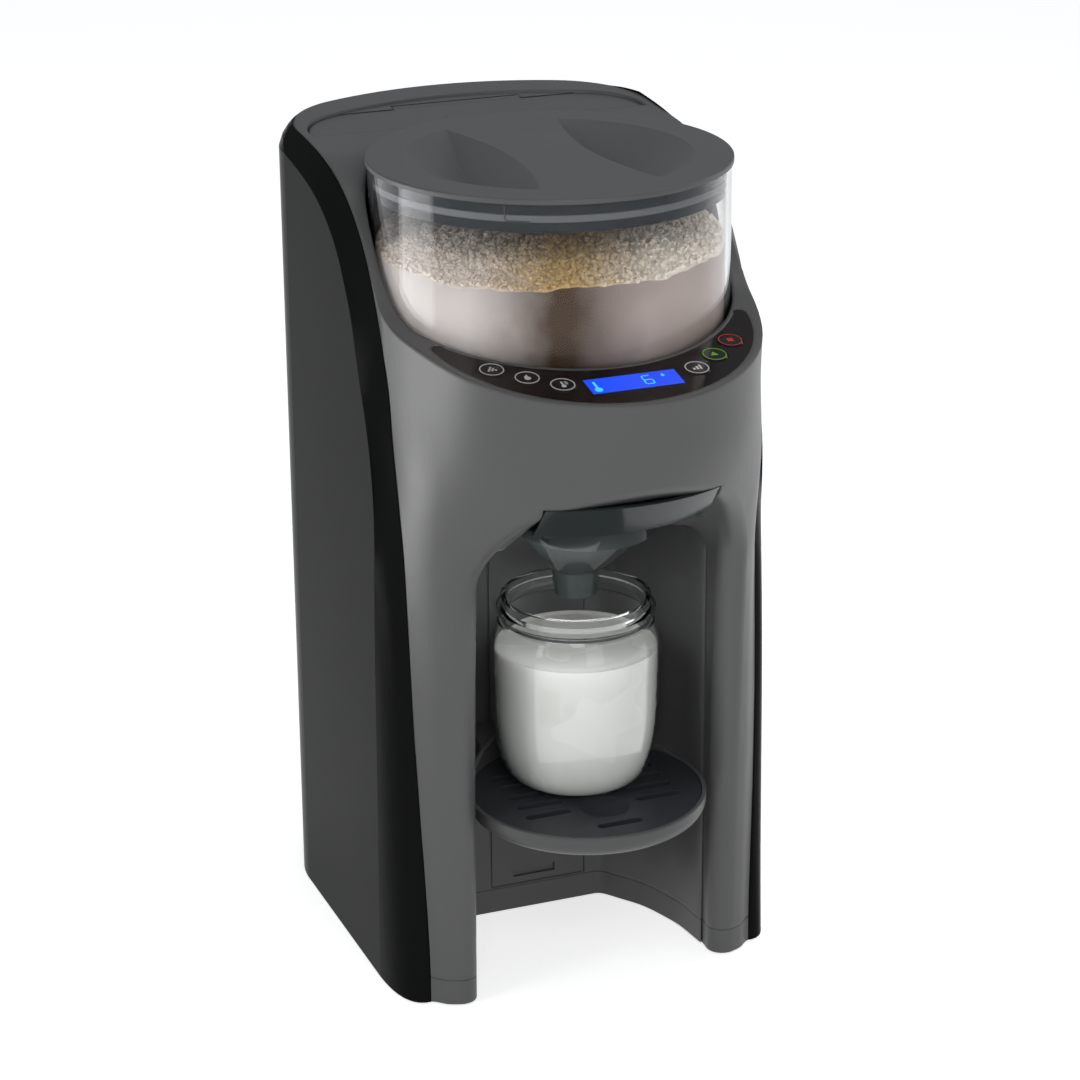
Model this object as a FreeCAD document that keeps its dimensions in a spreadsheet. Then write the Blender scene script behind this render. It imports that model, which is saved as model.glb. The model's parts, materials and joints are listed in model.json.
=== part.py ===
"""Countertop baby formula maker, millimetres, origin at the bottom centre.

The front faces -Y, +X is to the right of somebody who stands in front, +Z is up.
A grey front housing stands on two pillars around the bottle bay. A dark U-shaped
housing wraps its sides and back. The powder hopper stands in a round well on top,
the water tank behind it, and the removable funnel hangs in the chin over the bottle.
"""
import FreeCAD, Part
import math
import os
import Sketcher
from FreeCAD import Placement, Rotation, Vector

os.makedirs("parts", exist_ok=True)
doc = FreeCAD.newDocument("FormulaMaker")

# ---------------------------------------------------------------- driving dimensions
DIMENSIONS = [
    ("hopper_y", -17), ("bottle_y", -45), ("funnel_y", -57), ("tray_y", -57),
    ("base_bottom", 1), ("base_seam", 12.4), ("wall", 3), ("deck_wall", 5),
    ("half_width", 88), ("wrap_back", 125.73), ("wrap_corner", 50), ("form_back", 120.1),
    ("deck_front_y", -102.9), ("deck_front_z", 285.2), ("deck_slope", 0.19),
    ("crown_rear_z", 356.4), ("crown_slope", 0.0617),
    ("well_radius", 76.2), ("jar_radius", 75.2), ("jar_wall", 2.2), ("jar_bottom", 266),
    ("jar_top", 353.8), ("powder_level", 322), ("lid_radius", 76), ("lid_bottom", 354.1),
    ("lid_top", 356.4), ("band_bottom", 342.3), ("band_wall", 2.4), ("hollow_floor", 344.4),
    ("seat_bottom", 254), ("seat_top", 257.5),
    ("fascia_radius", 69.7), ("fascia_y", -53), ("fascia_inner", 78), ("fascia_thick", 2),
    ("button_radius", 5.5), ("button_proud", 0.5),
    ("bay_back", 3.7), ("bay_roof", 202), ("slot_half", 38.7), ("slot_top", 235.5),
    ("spout_radius", 9.1), ("spout_bottom", 172.8), ("funnel_radius", 29), ("funnel_wall", 1.6),
    ("funnel_rim", 206), ("funnel_deck", 219.5),
    ("grid_radius", 49.3), ("grid_top", 86.2), ("grid_thick", 2.6), ("bowl_radius", 51.4),
    ("bowl_bottom", 77.1), ("bowl_wall", 1.5), ("slot_width", 2.8), ("slot_length", 20),
    ("bottle_rim", 171.6), ("bottle_wall", 1.5), ("milk_level", 148.9),
    ("tank_half", 71.7), ("tank_front", 63.6), ("tank_back", 99.6), ("tank_bottom", 31.5),
    ("tank_wall", 1.6), ("gear_module", 1.4), ("gear_teeth", 45), ("pinion_teeth", 15),
    ("gear_bottom", 236), ("gear_thick", 6), ("shaft_radius", 4), ("fit", 0.05),
    ("screw_radius", 1.6),
]
sheet = doc.addObject("Spreadsheet::Sheet", "Dimensions")
for row, (alias, value) in enumerate(DIMENSIONS, start=1):
    sheet.set("A%d" % row, alias.replace("_", " "))
    sheet.set("B%d" % row, str(value))
    sheet.setAlias("B%d" % row, alias)
doc.recompute()


def dim(alias):
    """A driving dimension as a number."""
    return float(sheet.get(alias))


def value_of(formula):
    """A number, or a formula of the sheet's aliases, as a number."""
    if isinstance(formula, (int, float)):
        return float(formula)
    return float(sheet.evalExpression(linked(formula)))


def linked(formula):
    """A formula whose aliases point at the sheet."""
    text = str(formula)
    words = sorted({alias for alias, _ in DIMENSIONS if alias in text}, key=len, reverse=True)
    for number, alias in enumerate(words):
        text = text.replace(alias, "@%d@" % number)
    for number, alias in enumerate(words):
        text = text.replace("@%d@" % number, "Dimensions." + alias)
    return text


def bind(thing, **formulas):
    """Bind properties of an object to formulas of the sheet's aliases."""
    for name, formula in formulas.items():
        thing.setExpression(name, linked(formula))
    return thing


def put(thing, x=0, y=0, z=0):
    """Bind the place of an object."""
    for name, formula in (("x", x), ("y", y), ("z", z)):
        thing.setExpression("Placement.Base." + name, linked(formula))
    return thing


def solid(kind, name, x=0, y=0, z=0, **sizes):
    """A Part primitive with bound sizes and place."""
    return put(bind(doc.addObject("Part::" + kind, name), **sizes), x, y, z)


def rod(name, radius, height, x=0, y=0, z=0):
    return solid("Cylinder", name, x, y, z, Radius=radius, Height=height)


def block(name, x0, x1, y0, y1, z0, z1):
    """A box between six formulas."""
    return solid("Box", name, x0, y0, z0, Length="(%s)-(%s)" % (x1, x0),
                 Width="(%s)-(%s)" % (y1, y0), Height="(%s)-(%s)" % (z1, z0))


def fused(name, *pieces):
    whole = doc.addObject("Part::MultiFuse", name)
    whole.Shapes = list(pieces)
    return whole


def cut(name, base, *tools):
    """The base less one or more tools."""
    result = doc.addObject("Part::Cut", name)
    result.Base = base
    result.Tool = tools[0] if len(tools) == 1 else fused(name + "_tools", *tools)
    return result


def common(name, *pieces):
    whole = doc.addObject("Part::MultiCommon", name)
    whole.Shapes = list(pieces)
    return whole


def shaped(name, shape):
    """A feature whose shape the code works out from the sheet."""
    feature = doc.addObject("Part::Feature", name)
    feature.Shape = shape
    return feature


def outline_sketch(body, role, outline):
    """A closed outline in a body's sketch, each corner bound to the sheet."""
    sketch = body.newObject("Sketcher::SketchObject", body.Name + "_outline")
    plane = [item for item in body.Origin.OriginFeatures if item.Role == role][0]
    sketch.AttachmentSupport = (plane, [""])
    sketch.MapMode = "FlatFace"
    spots = [Vector(value_of(across), value_of(up), 0) for across, up in outline]
    for number, spot in enumerate(spots):
        sketch.addGeometry(Part.LineSegment(spot, spots[(number + 1) % len(spots)]), False)
    for number, spot in enumerate(spots):
        after = (number + 1) % len(spots)
        sketch.addConstraint(Sketcher.Constraint("Coincident", number, 2, after, 1))
        for kind, size, axis, formula in (("DistanceX", spot.x, -2, outline[number][0]),
                                          ("DistanceY", spot.y, -1, outline[number][1])):
            if abs(size) < 1e-9:
                sketch.addConstraint(Sketcher.Constraint("PointOnObject", number, 1, axis))
                continue
            index = sketch.addConstraint(Sketcher.Constraint(kind, -1, 1, number, 1, size))
            sketch.setExpression("Constraints[%d]" % index, linked(formula))
    return sketch


def turned(name, outline, y=0, x=0, z=0):
    """A body revolved from corners given as radius and height."""
    body = doc.addObject("PartDesign::Body", name)
    sketch = outline_sketch(body, "XZ_Plane", outline)
    spin = body.newObject("PartDesign::Revolution", name + "_spin")
    spin.Profile = sketch
    spin.ReferenceAxis = (sketch, ["V_Axis"])
    spin.Angle = 360
    put(body, x, y, z)
    return body


def spline(points, ends=None):
    """A smooth curve through points, with its two end directions if they are given."""
    curve = Part.BSplineCurve()
    if ends:
        curve.interpolate(Points=points, InitialTangent=ends[0], FinalTangent=ends[1])
    else:
        curve.interpolate(Points=points)
    return curve.toShape()


def line(start, end):
    return Part.LineSegment(start, end).toShape()


def joined(*edges):
    return Part.Wire(Part.__sortEdges__(list(edges)))


def polygon_prism(points, along):
    """A prism from a closed list of corners, pushed along a vector."""
    return Part.Face(Part.makePolygon(points + [points[0]])).extrude(along)


def middle(edge):
    return edge.valueAt((edge.FirstParameter + edge.LastParameter) / 2)


def deck_height(y, offset=0.0):
    """Height of the sloping control deck over a place y."""
    return dim("deck_front_z") + dim("deck_slope") * (y - dim("deck_front_y")) + offset


def crown_height(y, offset=0.0):
    """Height of the nearly level rear top over a place y."""
    return dim("crown_rear_z") - dim("crown_slope") * (dim("form_back") - y) + offset


# ---------------------------------------------------------------- the outer form
# Right half of the front outline at each height: from the seam with the dark side
# round the pillar nose to the middle of the front.
FRONT = {
    0: [(77, -63.5), (73, -65), (69.5, -68.3), (64.6, -70.6), (54, -76), (28, -86), (0, -90)],
    100: [(78, -59.6), (74.6, -63.4), (70.5, -68), (65, -71.8), (54, -78), (28, -88.5), (0, -92.5)],
    190: [(78.9, -54), (76, -60.5), (72, -67.5), (66, -74.5), (55, -83), (28.5, -96), (0, -101)],
    235: [(80, -48.8), (77.6, -60), (73.5, -70.5), (67, -81), (56, -93.5), (30, -110.5), (0, -116.5)],
    285: [(80.2, -36), (77.9, -49), (73.4, -66), (66, -85), (50.6, -106), (26.5, -121.4), (0, -126.3)],
    320: [(80.6, -34), (78.3, -48), (73.9, -66), (66.5, -86), (51, -107.5), (27, -123.5), (0, -128.5)],
    364: [(81.2, -34), (78.6, -48), (74, -66), (66.8, -86.5), (51.6, -109), (27, -125), (0, -130)],
}
LEVELS = list(FRONT)
SECTION_STEP = 26
FORM_CORNER = 42.5
BACK_BULGE = 150


def smooth_at(values, z):
    """A value at height z on a smooth line through its values at the levels, with no overshoot."""
    spans = [high - low for low, high in zip(LEVELS, LEVELS[1:])]
    slopes = [(after - before) / span for before, after, span in zip(values, values[1:], spans)]
    turns = [2 * one * two / (one + two) if one * two > 0 else 0 for one, two in zip(slopes, slopes[1:])]
    turns = slopes[:1] + turns + slopes[-1:]
    place = min(sum(level <= z for level in LEVELS), len(spans)) - 1
    span = spans[place]
    share = (z - LEVELS[place]) / span
    rise = (values[place + 1] - values[place]) * share ** 2 * (3 - 2 * share)
    lead = turns[place] * span * share * (1 - share) ** 2
    trail = turns[place + 1] * span * share ** 2 * (1 - share)
    return values[place] + rise + lead - trail


def front_outline(z):
    """Right half of the front outline at any height."""
    spots = zip(*FRONT.values())
    return [tuple(smooth_at(axis, z) for axis in zip(*spot)) for spot in spots]


def inset_points(points, inset):
    """Corners moved to the left of their direction of travel; the two ends move along X."""
    moved = []
    for number, spot in enumerate(points):
        before = points[max(number - 1, 0)]
        after = points[min(number + 1, len(points) - 1)]
        way = (after - before).normalize()
        moved.append(spot + Vector(-way.y, way.x, 0) * inset)
    for end in (0, -1):
        moved[end] = points[end] - Vector(math.copysign(1, points[end].x) * inset, 0, 0)
    return moved


def rear_edges(half, front_y, back_y, corner, z):
    """Sides, round corners and bulged back of a plan outline, from right to left."""
    bulge_y = back_y - BACK_BULGE
    corner_x = half - corner
    corner_y = bulge_y + math.sqrt((BACK_BULGE - corner) ** 2 - corner_x ** 2)
    turn = math.atan2(corner_y - bulge_y, corner_x)
    meet = Vector(BACK_BULGE * math.cos(turn), bulge_y + BACK_BULGE * math.sin(turn), z)
    half_way = Vector(corner_x + corner * math.cos(turn / 2), corner_y + corner * math.sin(turn / 2), z)
    meet_left, half_way_left = Vector(-meet.x, meet.y, z), Vector(-half_way.x, half_way.y, z)
    return [
        line(Vector(half, front_y, z), Vector(half, corner_y, z)),
        Part.Arc(Vector(half, corner_y, z), half_way, meet).toShape(),
        Part.Arc(meet, Vector(0, back_y, z), meet_left).toShape(),
        Part.Arc(meet_left, half_way_left, Vector(-half, corner_y, z)).toShape(),
        line(Vector(-half, corner_y, z), Vector(-half, front_y, z)),
    ]


def form_section(z, inset=0.0):
    """Plan outline of the grey form at one height, made smaller by an inset."""
    half = front_outline(z)
    spots = [Vector(-x, y, 0) for x, y in half] + [Vector(x, y, 0) for x, y in reversed(half[:-1])]
    if inset:
        spots = inset_points(spots, inset)
    spots = [Vector(spot.x, spot.y, z) for spot in spots]
    edges = rear_edges(spots[-1].x, spots[-1].y, dim("form_back") - inset, FORM_CORNER - inset, z)
    return Part.Wire([spline(spots)] + edges)


def form_loft(inset=0.0):
    """The grey form from the table to above its top, as a smooth skin over even sections."""
    heights = range(LEVELS[0], LEVELS[-1] + 1, SECTION_STEP)
    return Part.makeLoft([form_section(z, inset) for z in heights], True, False)


def plan_prism(half, front_y, back_y, corner, z0, z1):
    """An upright block with a straight front and the round back of the form."""
    edges = rear_edges(half, front_y, back_y, corner, z0)
    edges.append(line(Vector(-half, front_y, z0), Vector(half, front_y, z0)))
    return Part.Face(Part.Wire(edges)).extrude(Vector(0, 0, z1 - z0))


# Side outline of the top: the deck, the S-shaped shoulder and the nearly level crown.
SHOULDER = [(-44, 296.9), (-37.5, 299.9), (-31, 304.8), (-25.5, 311), (-19.5, 318), (-11, 328),
            (1.5, 338), (15, 345), (27, 349.1)]
DECK_REAR_Y = -54
CROWN_FRONT_Y = 40
FAR = 170


def under_top(offset=0.0):
    """Everything under the top surface, moved down by an offset."""
    points = [(DECK_REAR_Y, deck_height(DECK_REAR_Y))] + SHOULDER
    points += [(CROWN_FRONT_Y, crown_height(CROWN_FRONT_Y))]
    spots = [Vector(-FAR, y, z - offset) for y, z in points]
    front = Vector(-FAR, -FAR, deck_height(-FAR, -offset))
    back = Vector(-FAR, FAR, crown_height(FAR, -offset))
    ends = (Vector(0, 1, dim("deck_slope")), Vector(0, 1, dim("crown_slope")))
    low_front, low_back = Vector(-FAR, -FAR, -FAR), Vector(-FAR, FAR, -FAR)
    outline = Part.Wire([line(front, spots[0]), spline(spots, ends), line(spots[-1], back),
                         line(back, low_back), line(low_back, low_front), line(low_front, front)])
    return Part.Face(outline).extrude(Vector(2 * FAR, 0, 0))


def band(height_of, low, high):
    """A thick sheet that follows the deck or the crown between two offsets."""
    corners = [(-FAR, low), (FAR, low), (FAR, high), (-FAR, high)]
    spots = [Vector(-FAR, y, height_of(y, offset)) for y, offset in corners]
    return polygon_prism(spots, Vector(2 * FAR, 0, 0))


# Half plan of the bottle bay, from its back wall to the pillar, and the roof over it.
BAY = [(29, 3.7), (33.5, 0.6), (37.5, -5.3), (43.7, -14.6), (49.4, -29.4), (52.8, -44),
       (54.5, -58), (55, -70)]
BAY_FRONT = -150
CHIN_START = -60
CHIN_RISE = 0.66
ROOF_CORNER = 15


def bay_tool(offset=0.0):
    """The space of the bottle bay and the cut under the chin, grown by an offset."""
    spots = [Vector(x, y, -10) for x, y in BAY]
    if offset:
        spots = inset_points(spots, offset)
        spots[0] = Vector(BAY[0][0] + 0.3 * offset, BAY[0][1] + offset, -10)
        spots[-1] = Vector(BAY[-1][0] + offset, BAY[-1][1], -10)
    left = [Vector(-spot.x, spot.y, spot.z) for spot in spots]
    front_right = Vector(spots[-1].x, BAY_FRONT, -10)
    front_left = Vector(-spots[-1].x, BAY_FRONT, -10)
    right_wall = spline(spots, (Vector(1, -0.15, 0), Vector(0, -1, 0)))
    left_wall = spline(left, (Vector(-1, -0.15, 0), Vector(0, -1, 0)))
    plan = joined(right_wall, line(spots[-1], front_right), line(front_right, front_left),
                  line(front_left, left[-1]), left_wall, line(left[0], spots[0]))
    upright = Part.Face(plan).extrude(Vector(0, 0, 300))
    return upright.common(arch(offset))


def arch(offset):
    """The bay seen from the front, a doorway with round top corners, rising under the chin."""
    corner = ROOF_CORNER + offset
    half = BAY[-1][0] + offset
    sections = []
    for y, roof in ((60, dim("bay_roof")), (CHIN_START, dim("bay_roof")),
                    (BAY_FRONT, dim("bay_roof") + CHIN_RISE * (CHIN_START - BAY_FRONT))):
        top = roof + offset
        narrow = half - (0 if y > BAY_FRONT else 8)
        low_right, low_left = Vector(narrow, y, -20), Vector(-narrow, y, -20)
        right, left = Vector(narrow, y, top - corner), Vector(-narrow, y, top - corner)
        top_right, top_left = Vector(narrow - corner, y, top), Vector(corner - narrow, y, top)
        reach = corner * (1 - math.sqrt(0.5))
        sections.append(Part.Wire([
            line(low_right, right),
            Part.Arc(right, Vector(narrow - reach, y, top - reach), top_right).toShape(),
            line(top_right, top_left),
            Part.Arc(top_left, Vector(reach - narrow, y, top - reach), left).toShape(),
            line(left, low_left), line(low_left, low_right)]))
    return Part.makeLoft(sections, True, True)


NOSE_RADIUS = 7
NOSE_SOLID = 9


def round_noses(form, bay):
    """Round the pillar noses and the chin's lip, where the bay meets the outside."""
    outside = form_loft().Shells[0]
    edges = []
    for edge in form.Edges:
        spot = middle(edge)
        mark = Part.Vertex(spot)
        if spot.y > -50 or not 0.5 < spot.z < 250:
            continue
        if mark.distToShape(outside)[0] < 0.02 and mark.distToShape(bay.Shells[0])[0] < 0.02:
            edges.append(edge)
    return form.makeFillet(NOSE_RADIUS, edges)


grey_form = form_loft().common(under_top())
grey_form = round_noses(grey_form.cut(bay_tool()), bay_tool())
cavity = form_loft(dim("wall")).common(under_top(dim("deck_wall"))).cut(bay_tool(dim("wall")))
cavity = cavity.cut(bay_tool(NOSE_SOLID).common(Part.makeBox(300, 120, 300, Vector(-150, -165, -20))))


# ---------------------------------------------------------------- the dark wrap
# The line where the dark housing meets the grey one, and the crease of its bevel.
SEAM_LINE = [(-64, -5), (-59, 117), (-54.5, 180), (-52, 215), (-46, 250), (-39, 275), (-32, 295),
             (-25, 309), (-19.5, 318), (-11, 328), (1.5, 338), (15, 345), (39, 351.2), (85, 354.9),
             (140, 358)]
BEVEL_LINE = [(-55, -5), (-51, 117), (-47, 187), (-41, 232), (-31, 275), (-22, 297), (-15, 309),
              (-8, 319), (-1, 326), (8, 332), (19, 338.5), (30, 343), (50, 347), (90, 351.5), (140, 354.5)]
CREASE_LINE = [(-34, -5), (-37, 100), (-40, 187), (-41, 228), (-36, 250), (-25, 277), (-17, 298),
               (-10, 309), (-3, 318.5), (6, 326.5), (17, 333), (30, 338), (50, 342.5), (90, 347.5),
               (140, 350)]


def side_wire(points, width_at):
    """A side outline of the wrap, closed behind and below, at a width that may grow upwards."""
    spots = [Vector(width_at(z), y, z) for y, z in points]
    low_back = Vector(width_at(points[0][1]), points[-1][0], points[0][1])
    return Part.Wire([spline(spots), line(spots[-1], low_back), line(low_back, spots[0])])


def wrap_form():
    """The outer form of the dark housing: bevelled sides and a bevelled round back."""
    half = dim("half_width")

    def seam_width(z):
        return 76.6 + 4.5 * z / 356

    right = [side_wire(SEAM_LINE, seam_width), side_wire(BEVEL_LINE, lambda z: half - 2.6),
             side_wire(CREASE_LINE, lambda z: half)]
    left = [side_wire(SEAM_LINE, lambda z: -seam_width(z)), side_wire(BEVEL_LINE, lambda z: 2.6 - half),
            side_wire(CREASE_LINE, lambda z: -half)]
    sides = Part.makeLoft(right, True, False).fuse(
        [Part.makeLoft([left[0], right[0]], True, True), Part.makeLoft(left, True, False)])
    outlines = []
    for z, inset in ((dim("base_bottom"), 0), (345, 0), (349.5, 1.6), (353, 4), (358, 9)):
        edges = rear_edges(half - inset, -90, dim("wrap_back") - inset, dim("wrap_corner") - inset, z)
        edges.append(line(Vector(inset - half, -90, z), Vector(half - inset, -90, z)))
        outlines.append(Part.Wire(edges))
    return sides.common(Part.makeLoft(outlines, True, True))


def upright_box(x0, x1, y0, y1, z0, z1):
    return Part.makeBox(x1 - x0, y1 - y0, z1 - z0, Vector(x0, y0, z0))


def upright_cylinder(radius, x, y, z0, z1):
    return Part.makeCylinder(radius, z1 - z0, Vector(x, y, z0))


SEAM_GAP = 0.15
INLET_X = 30
INLET_Z = 34
inlet_hole = upright_box(INLET_X - 14.2, INLET_X + 14.2, 100, 140, INLET_Z - 10.2, INLET_Z + 10.2)
wrap = wrap_form().cut(form_loft(-SEAM_GAP))
wrap_pocket = form_loft(-4).common(upright_box(-100, 100, -15, 140, 24, 300))
wrap = wrap.cut(wrap_pocket).cut(inlet_hole)
shaped("rear_housing", wrap)

# ---------------------------------------------------------------- the front housing
TIP_X = 66.1
TIP_Y = -62.4
TIP_RADIUS = 2.8
hopper_y = dim("hopper_y")
deck_band = band(deck_height, -dim("fascia_thick"), 8)
crescent = upright_cylinder(dim("fascia_radius"), 0, dim("fascia_y"), 200, 330)
crescent = crescent.cut(upright_cylinder(dim("fascia_inner"), 0, hopper_y, 190, 340))
crescent = crescent.cut(upright_box(-100, 100, TIP_Y, 60, 190, 340))
for side in (-1, 1):
    crescent = crescent.fuse(upright_cylinder(TIP_RADIUS, side * TIP_X, TIP_Y, 200, 330))
crescent = crescent.removeSplitter()
deck_turn = Rotation(Vector(1, 0, 0), math.degrees(math.atan(dim("deck_slope"))))


def on_deck(shape, x, y):
    """A shape drawn flat, its Z along the deck's normal, put on the deck."""
    placed = shape.copy()
    placed.Placement = Placement(Vector(x, y, deck_height(y)), deck_turn)
    return placed


BUTTONS = {"button_powder": (-51.7, -84.5), "button_water": (-40.4, -94.2), "button_warmth": (-28.8, -102.9),
           "button_volume": (28.8, -102.9), "button_start": (40.4, -94.2), "button_stop": (51.7, -84.5)}
LCD_Y = -106.7
LCD_HALF_X = 19.5
LCD_HALF_Y = 5.9
button_hole = Part.makeCylinder(dim("button_radius") + 0.25, 20, Vector(0, 0, -12))
lcd_hole = upright_box(-LCD_HALF_X + 1.5, LCD_HALF_X - 1.5, -LCD_HALF_Y + 1, LCD_HALF_Y - 1, -12, 8)
deck_holes = [on_deck(button_hole, x, y) for x, y in BUTTONS.values()] + [on_deck(lcd_hole, 0, LCD_Y)]

LID_REBATE = 4.1
lid_rebate = plan_prism(77, 61.2, 103.4, 28, 300, 380).common(band(crown_height, -LID_REBATE, 20))
TANK_PLAY = 0.6
tank_opening = plan_prism(dim("tank_half") + TANK_PLAY, dim("tank_front") - TANK_PLAY,
                          dim("tank_back") + TANK_PLAY, 24.6, 250, 380)
EAR_X, EAR_WIDTH, EAR_BACK = 30.2, 2.4, 98.5
ear_rooms = [upright_box(x0 - 0.4, x0 + EAR_WIDTH + 0.4, 90, EAR_BACK + 0.5, 345, 380)
             for x0 in (-EAR_X - EAR_WIDTH, EAR_X)]
funnel_slot = upright_box(-dim("slot_half"), dim("slot_half"), -140, -27, 190, dim("slot_top"))
panel_recess = upright_box(-21.6, 23.6, 3, dim("bay_back") + 2, 13.4, 196)
rear_window = upright_box(-58, 58, 100, 130, 22, 320)
shell = grey_form.cut(upright_box(-100, 100, -140, 140, -20, dim("base_seam")))
for tool in [cavity, upright_cylinder(dim("well_radius"), 0, hopper_y, dim("seat_top"), 380),
             deck_band.common(crescent), tank_opening, lid_rebate, funnel_slot, panel_recess,
             rear_window] + deck_holes + ear_rooms:
    shell = shell.cut(tool)
shaped("front_housing", shell)

# ---------------------------------------------------------------- base, feet and their screws
lower = grey_form.common(upright_box(-100, 100, -140, 140, dim("base_bottom"), dim("base_seam") - 0.15))
hollow = cavity.common(upright_box(-100, 100, -140, 140, dim("base_bottom") + 2.5, 40))
SCREW_SPOTS = [(-66, -52), (66, -52), (-56, 96), (56, 96)]
FOOT_SPOTS = [(-66, -38), (66, -38), (-50, 102), (50, 102)]
base = lower.cut(hollow)
for spot_x, spot_y in SCREW_SPOTS:
    base = base.cut(upright_cylinder(dim("screw_radius") + 0.1, spot_x, spot_y, 0, 6))
shaped("base_shell", base)
feet = [rod("foot_%d" % number, 6.5, "base_bottom", x, y, 0) for number, (x, y) in enumerate(FOOT_SPOTS)]
fused("rubber_feet", *feet)
screws = [rod("base_screw_%d" % number, "screw_radius", "base_seam-base_bottom-0.4", x, y, "base_bottom+0.2")
          for number, (x, y) in enumerate(SCREW_SPOTS)]
fused("base_screws", *screws)

# ---------------------------------------------------------------- back panel of the bay
panel = block("panel_plate", -21.3, 23.3, "bay_back", "bay_back+1.8", 13.8, 195.6)
hook_slots = [block("hook_slot_%d" % number, -11, 9, "bay_back-1", "bay_back+1.1", z, "%s+4" % z)
              for number, z in enumerate((17, 47, 77))]
cut("bay_back_panel", panel, *hook_slots)

# ---------------------------------------------------------------- control fascia and buttons
fascia = crescent.common(band(deck_height, -dim("fascia_thick") + 0.05, 0))
glass_seat = upright_box(-LCD_HALF_X - 0.1, LCD_HALF_X + 0.1, -LCD_HALF_Y - 0.1, LCD_HALF_Y + 0.1, -1.1, 4)
shaped("control_fascia", fascia.cut(deck_holes + [on_deck(glass_seat, 0, LCD_Y)]))


def on_deck_bound(thing, x, y, lift="0"):
    """Stand a feature on the sloping deck, its Z along the deck's normal."""
    slope = "atan(deck_slope)"
    thing.Placement = Placement(Vector(0, 0, 0), deck_turn)
    place_z = "deck_front_z+deck_slope*(%s-(deck_front_y))+(%s)*cos(%s)" % (y, lift, slope)
    return put(thing, x, "%s-(%s)*sin(%s)" % (y, lift, slope), place_z)


window = block("lcd_window", -LCD_HALF_X, LCD_HALF_X, -LCD_HALF_Y, LCD_HALF_Y, 0, 1)
on_deck_bound(window, -LCD_HALF_X, "%s-%s*cos(atan(deck_slope))" % (LCD_Y, LCD_HALF_Y), -1)
display = block("lcd_module", -20.5, 20.5, -7, 7, 0, 3)
on_deck_bound(display, -20.5, "%s-7*cos(atan(deck_slope))" % LCD_Y, -8.3)
for button_name, (button_x, button_y) in BUTTONS.items():
    flange_low, flange_top, flange_radius = "-6.4", "-5.4", "button_radius+1.2"
    button = turned(button_name, [(0, flange_low), (flange_radius, flange_low), (flange_radius, flange_top),
                                  ("button_radius", flange_top), ("button_radius", "button_proud-0.5"),
                                  ("button_radius-0.5", "button_proud"), (0, "button_proud")])
    button.Placement = Placement(Vector(0, 0, 0), deck_turn)
    put(button, button_x, button_y, "deck_front_z+deck_slope*(%s-(deck_front_y))" % button_y)
board = upright_cylinder(66, 0, dim("fascia_y"), 200, 330).cut(upright_cylinder(81, 0, hopper_y, 190, 340))
board = board.cut(upright_box(-100, 100, -64, 60, 190, 340)).common(band(deck_height, -10.6, -9))
shaped("control_board", board)
switch = Part.makeCylinder(2.4, 1.6, Vector(0, 0, -8.7))
shaped("button_switches", Part.makeCompound([on_deck(switch, x, y) for x, y in BUTTONS.values()]))

# ---------------------------------------------------------------- hopper seat and drive
seat = turned("seat_disc", [("shaft_radius+2.6", "seat_bottom"), (77, "seat_bottom"), (77, 266),
                            ("jar_radius+0.6", 266), ("jar_radius+0.6", "seat_top"),
                            ("shaft_radius+2.6", "seat_top")], "hopper_y")
OUTLET_Y = -63
outlet = rod("seat_outlet", 10.8, 12, 0, OUTLET_Y, "seat_bottom-4")
cut("hopper_seat", seat, outlet)
turned("drive_bush", [("shaft_radius+fit", "seat_bottom-4"), ("shaft_radius+5", "seat_bottom-4"),
                      ("shaft_radius+5", "seat_bottom-1"), ("shaft_radius+2.55", "seat_bottom-1"),
                      ("shaft_radius+2.55", "seat_top+2"), ("shaft_radius+fit", "seat_top+2")], "hopper_y")
turned("powder_chute", [(9, 230), (10.6, 230), (10.6, "seat_top"), (9, "seat_top")], OUTLET_Y)
turned("drive_shaft", [(0, 234.9), ("shaft_radius+1.5", 234.9), ("shaft_radius+1.5", "gear_bottom"),
                       ("shaft_radius", "gear_bottom"), ("shaft_radius", 273), (0, 273)], "hopper_y")


def gear_shape(teeth, bore, bottom, phase):
    """A spur gear with slightly thin trapezoid teeth, so that the pair runs with backlash."""
    module = dim("gear_module")
    pitch = module * teeth / 2
    tip, root = pitch + 0.85 * module, pitch - 1.1 * module
    tooth = 2 * math.pi / teeth
    flank = [(root, -0.33), (pitch, -0.215), (tip, -0.10), (tip, 0.10), (pitch, 0.215), (root, 0.33)]
    spots = []
    for number in range(teeth):
        centre = number * tooth + phase
        for radius, share in flank:
            angle = centre + share * tooth
            spots.append(Vector(radius * math.cos(angle), radius * math.sin(angle), bottom))
    gear = polygon_prism(spots, Vector(0, 0, dim("gear_thick")))
    return gear.cut(upright_cylinder(bore, 0, 0, bottom - 1, bottom + 20))


centre_distance = dim("gear_module") * (dim("gear_teeth") + dim("pinion_teeth")) / 2
motor_y = hopper_y + centre_distance
gear_bottom = dim("gear_bottom")
gear = gear_shape(int(dim("gear_teeth")), dim("shaft_radius"), gear_bottom, math.pi / 2)
gear.translate(Vector(0, hopper_y, 0))
shaped("drive_gear", gear)
pinion = gear_shape(int(dim("pinion_teeth")), 2.5, gear_bottom, -math.pi / 2 + math.pi / dim("pinion_teeth"))
pinion.translate(Vector(0, motor_y, 0))
shaped("motor_pinion", pinion)
MOTOR_Y = "hopper_y+gear_module*(gear_teeth+pinion_teeth)/2"
turned("gear_motor", [(0, 190), (15, 190), (15, 204), (16.5, 204), (16.5, 232), (6, 232), (6, 234.6),
                      (0, 234.6)], MOTOR_Y)
turned("motor_shaft", [(0, 234.9), (2.5, 234.9), (2.5, "gear_bottom+gear_thick+1.5"),
                       (0, "gear_bottom+gear_thick+1.5")], MOTOR_Y)
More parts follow.
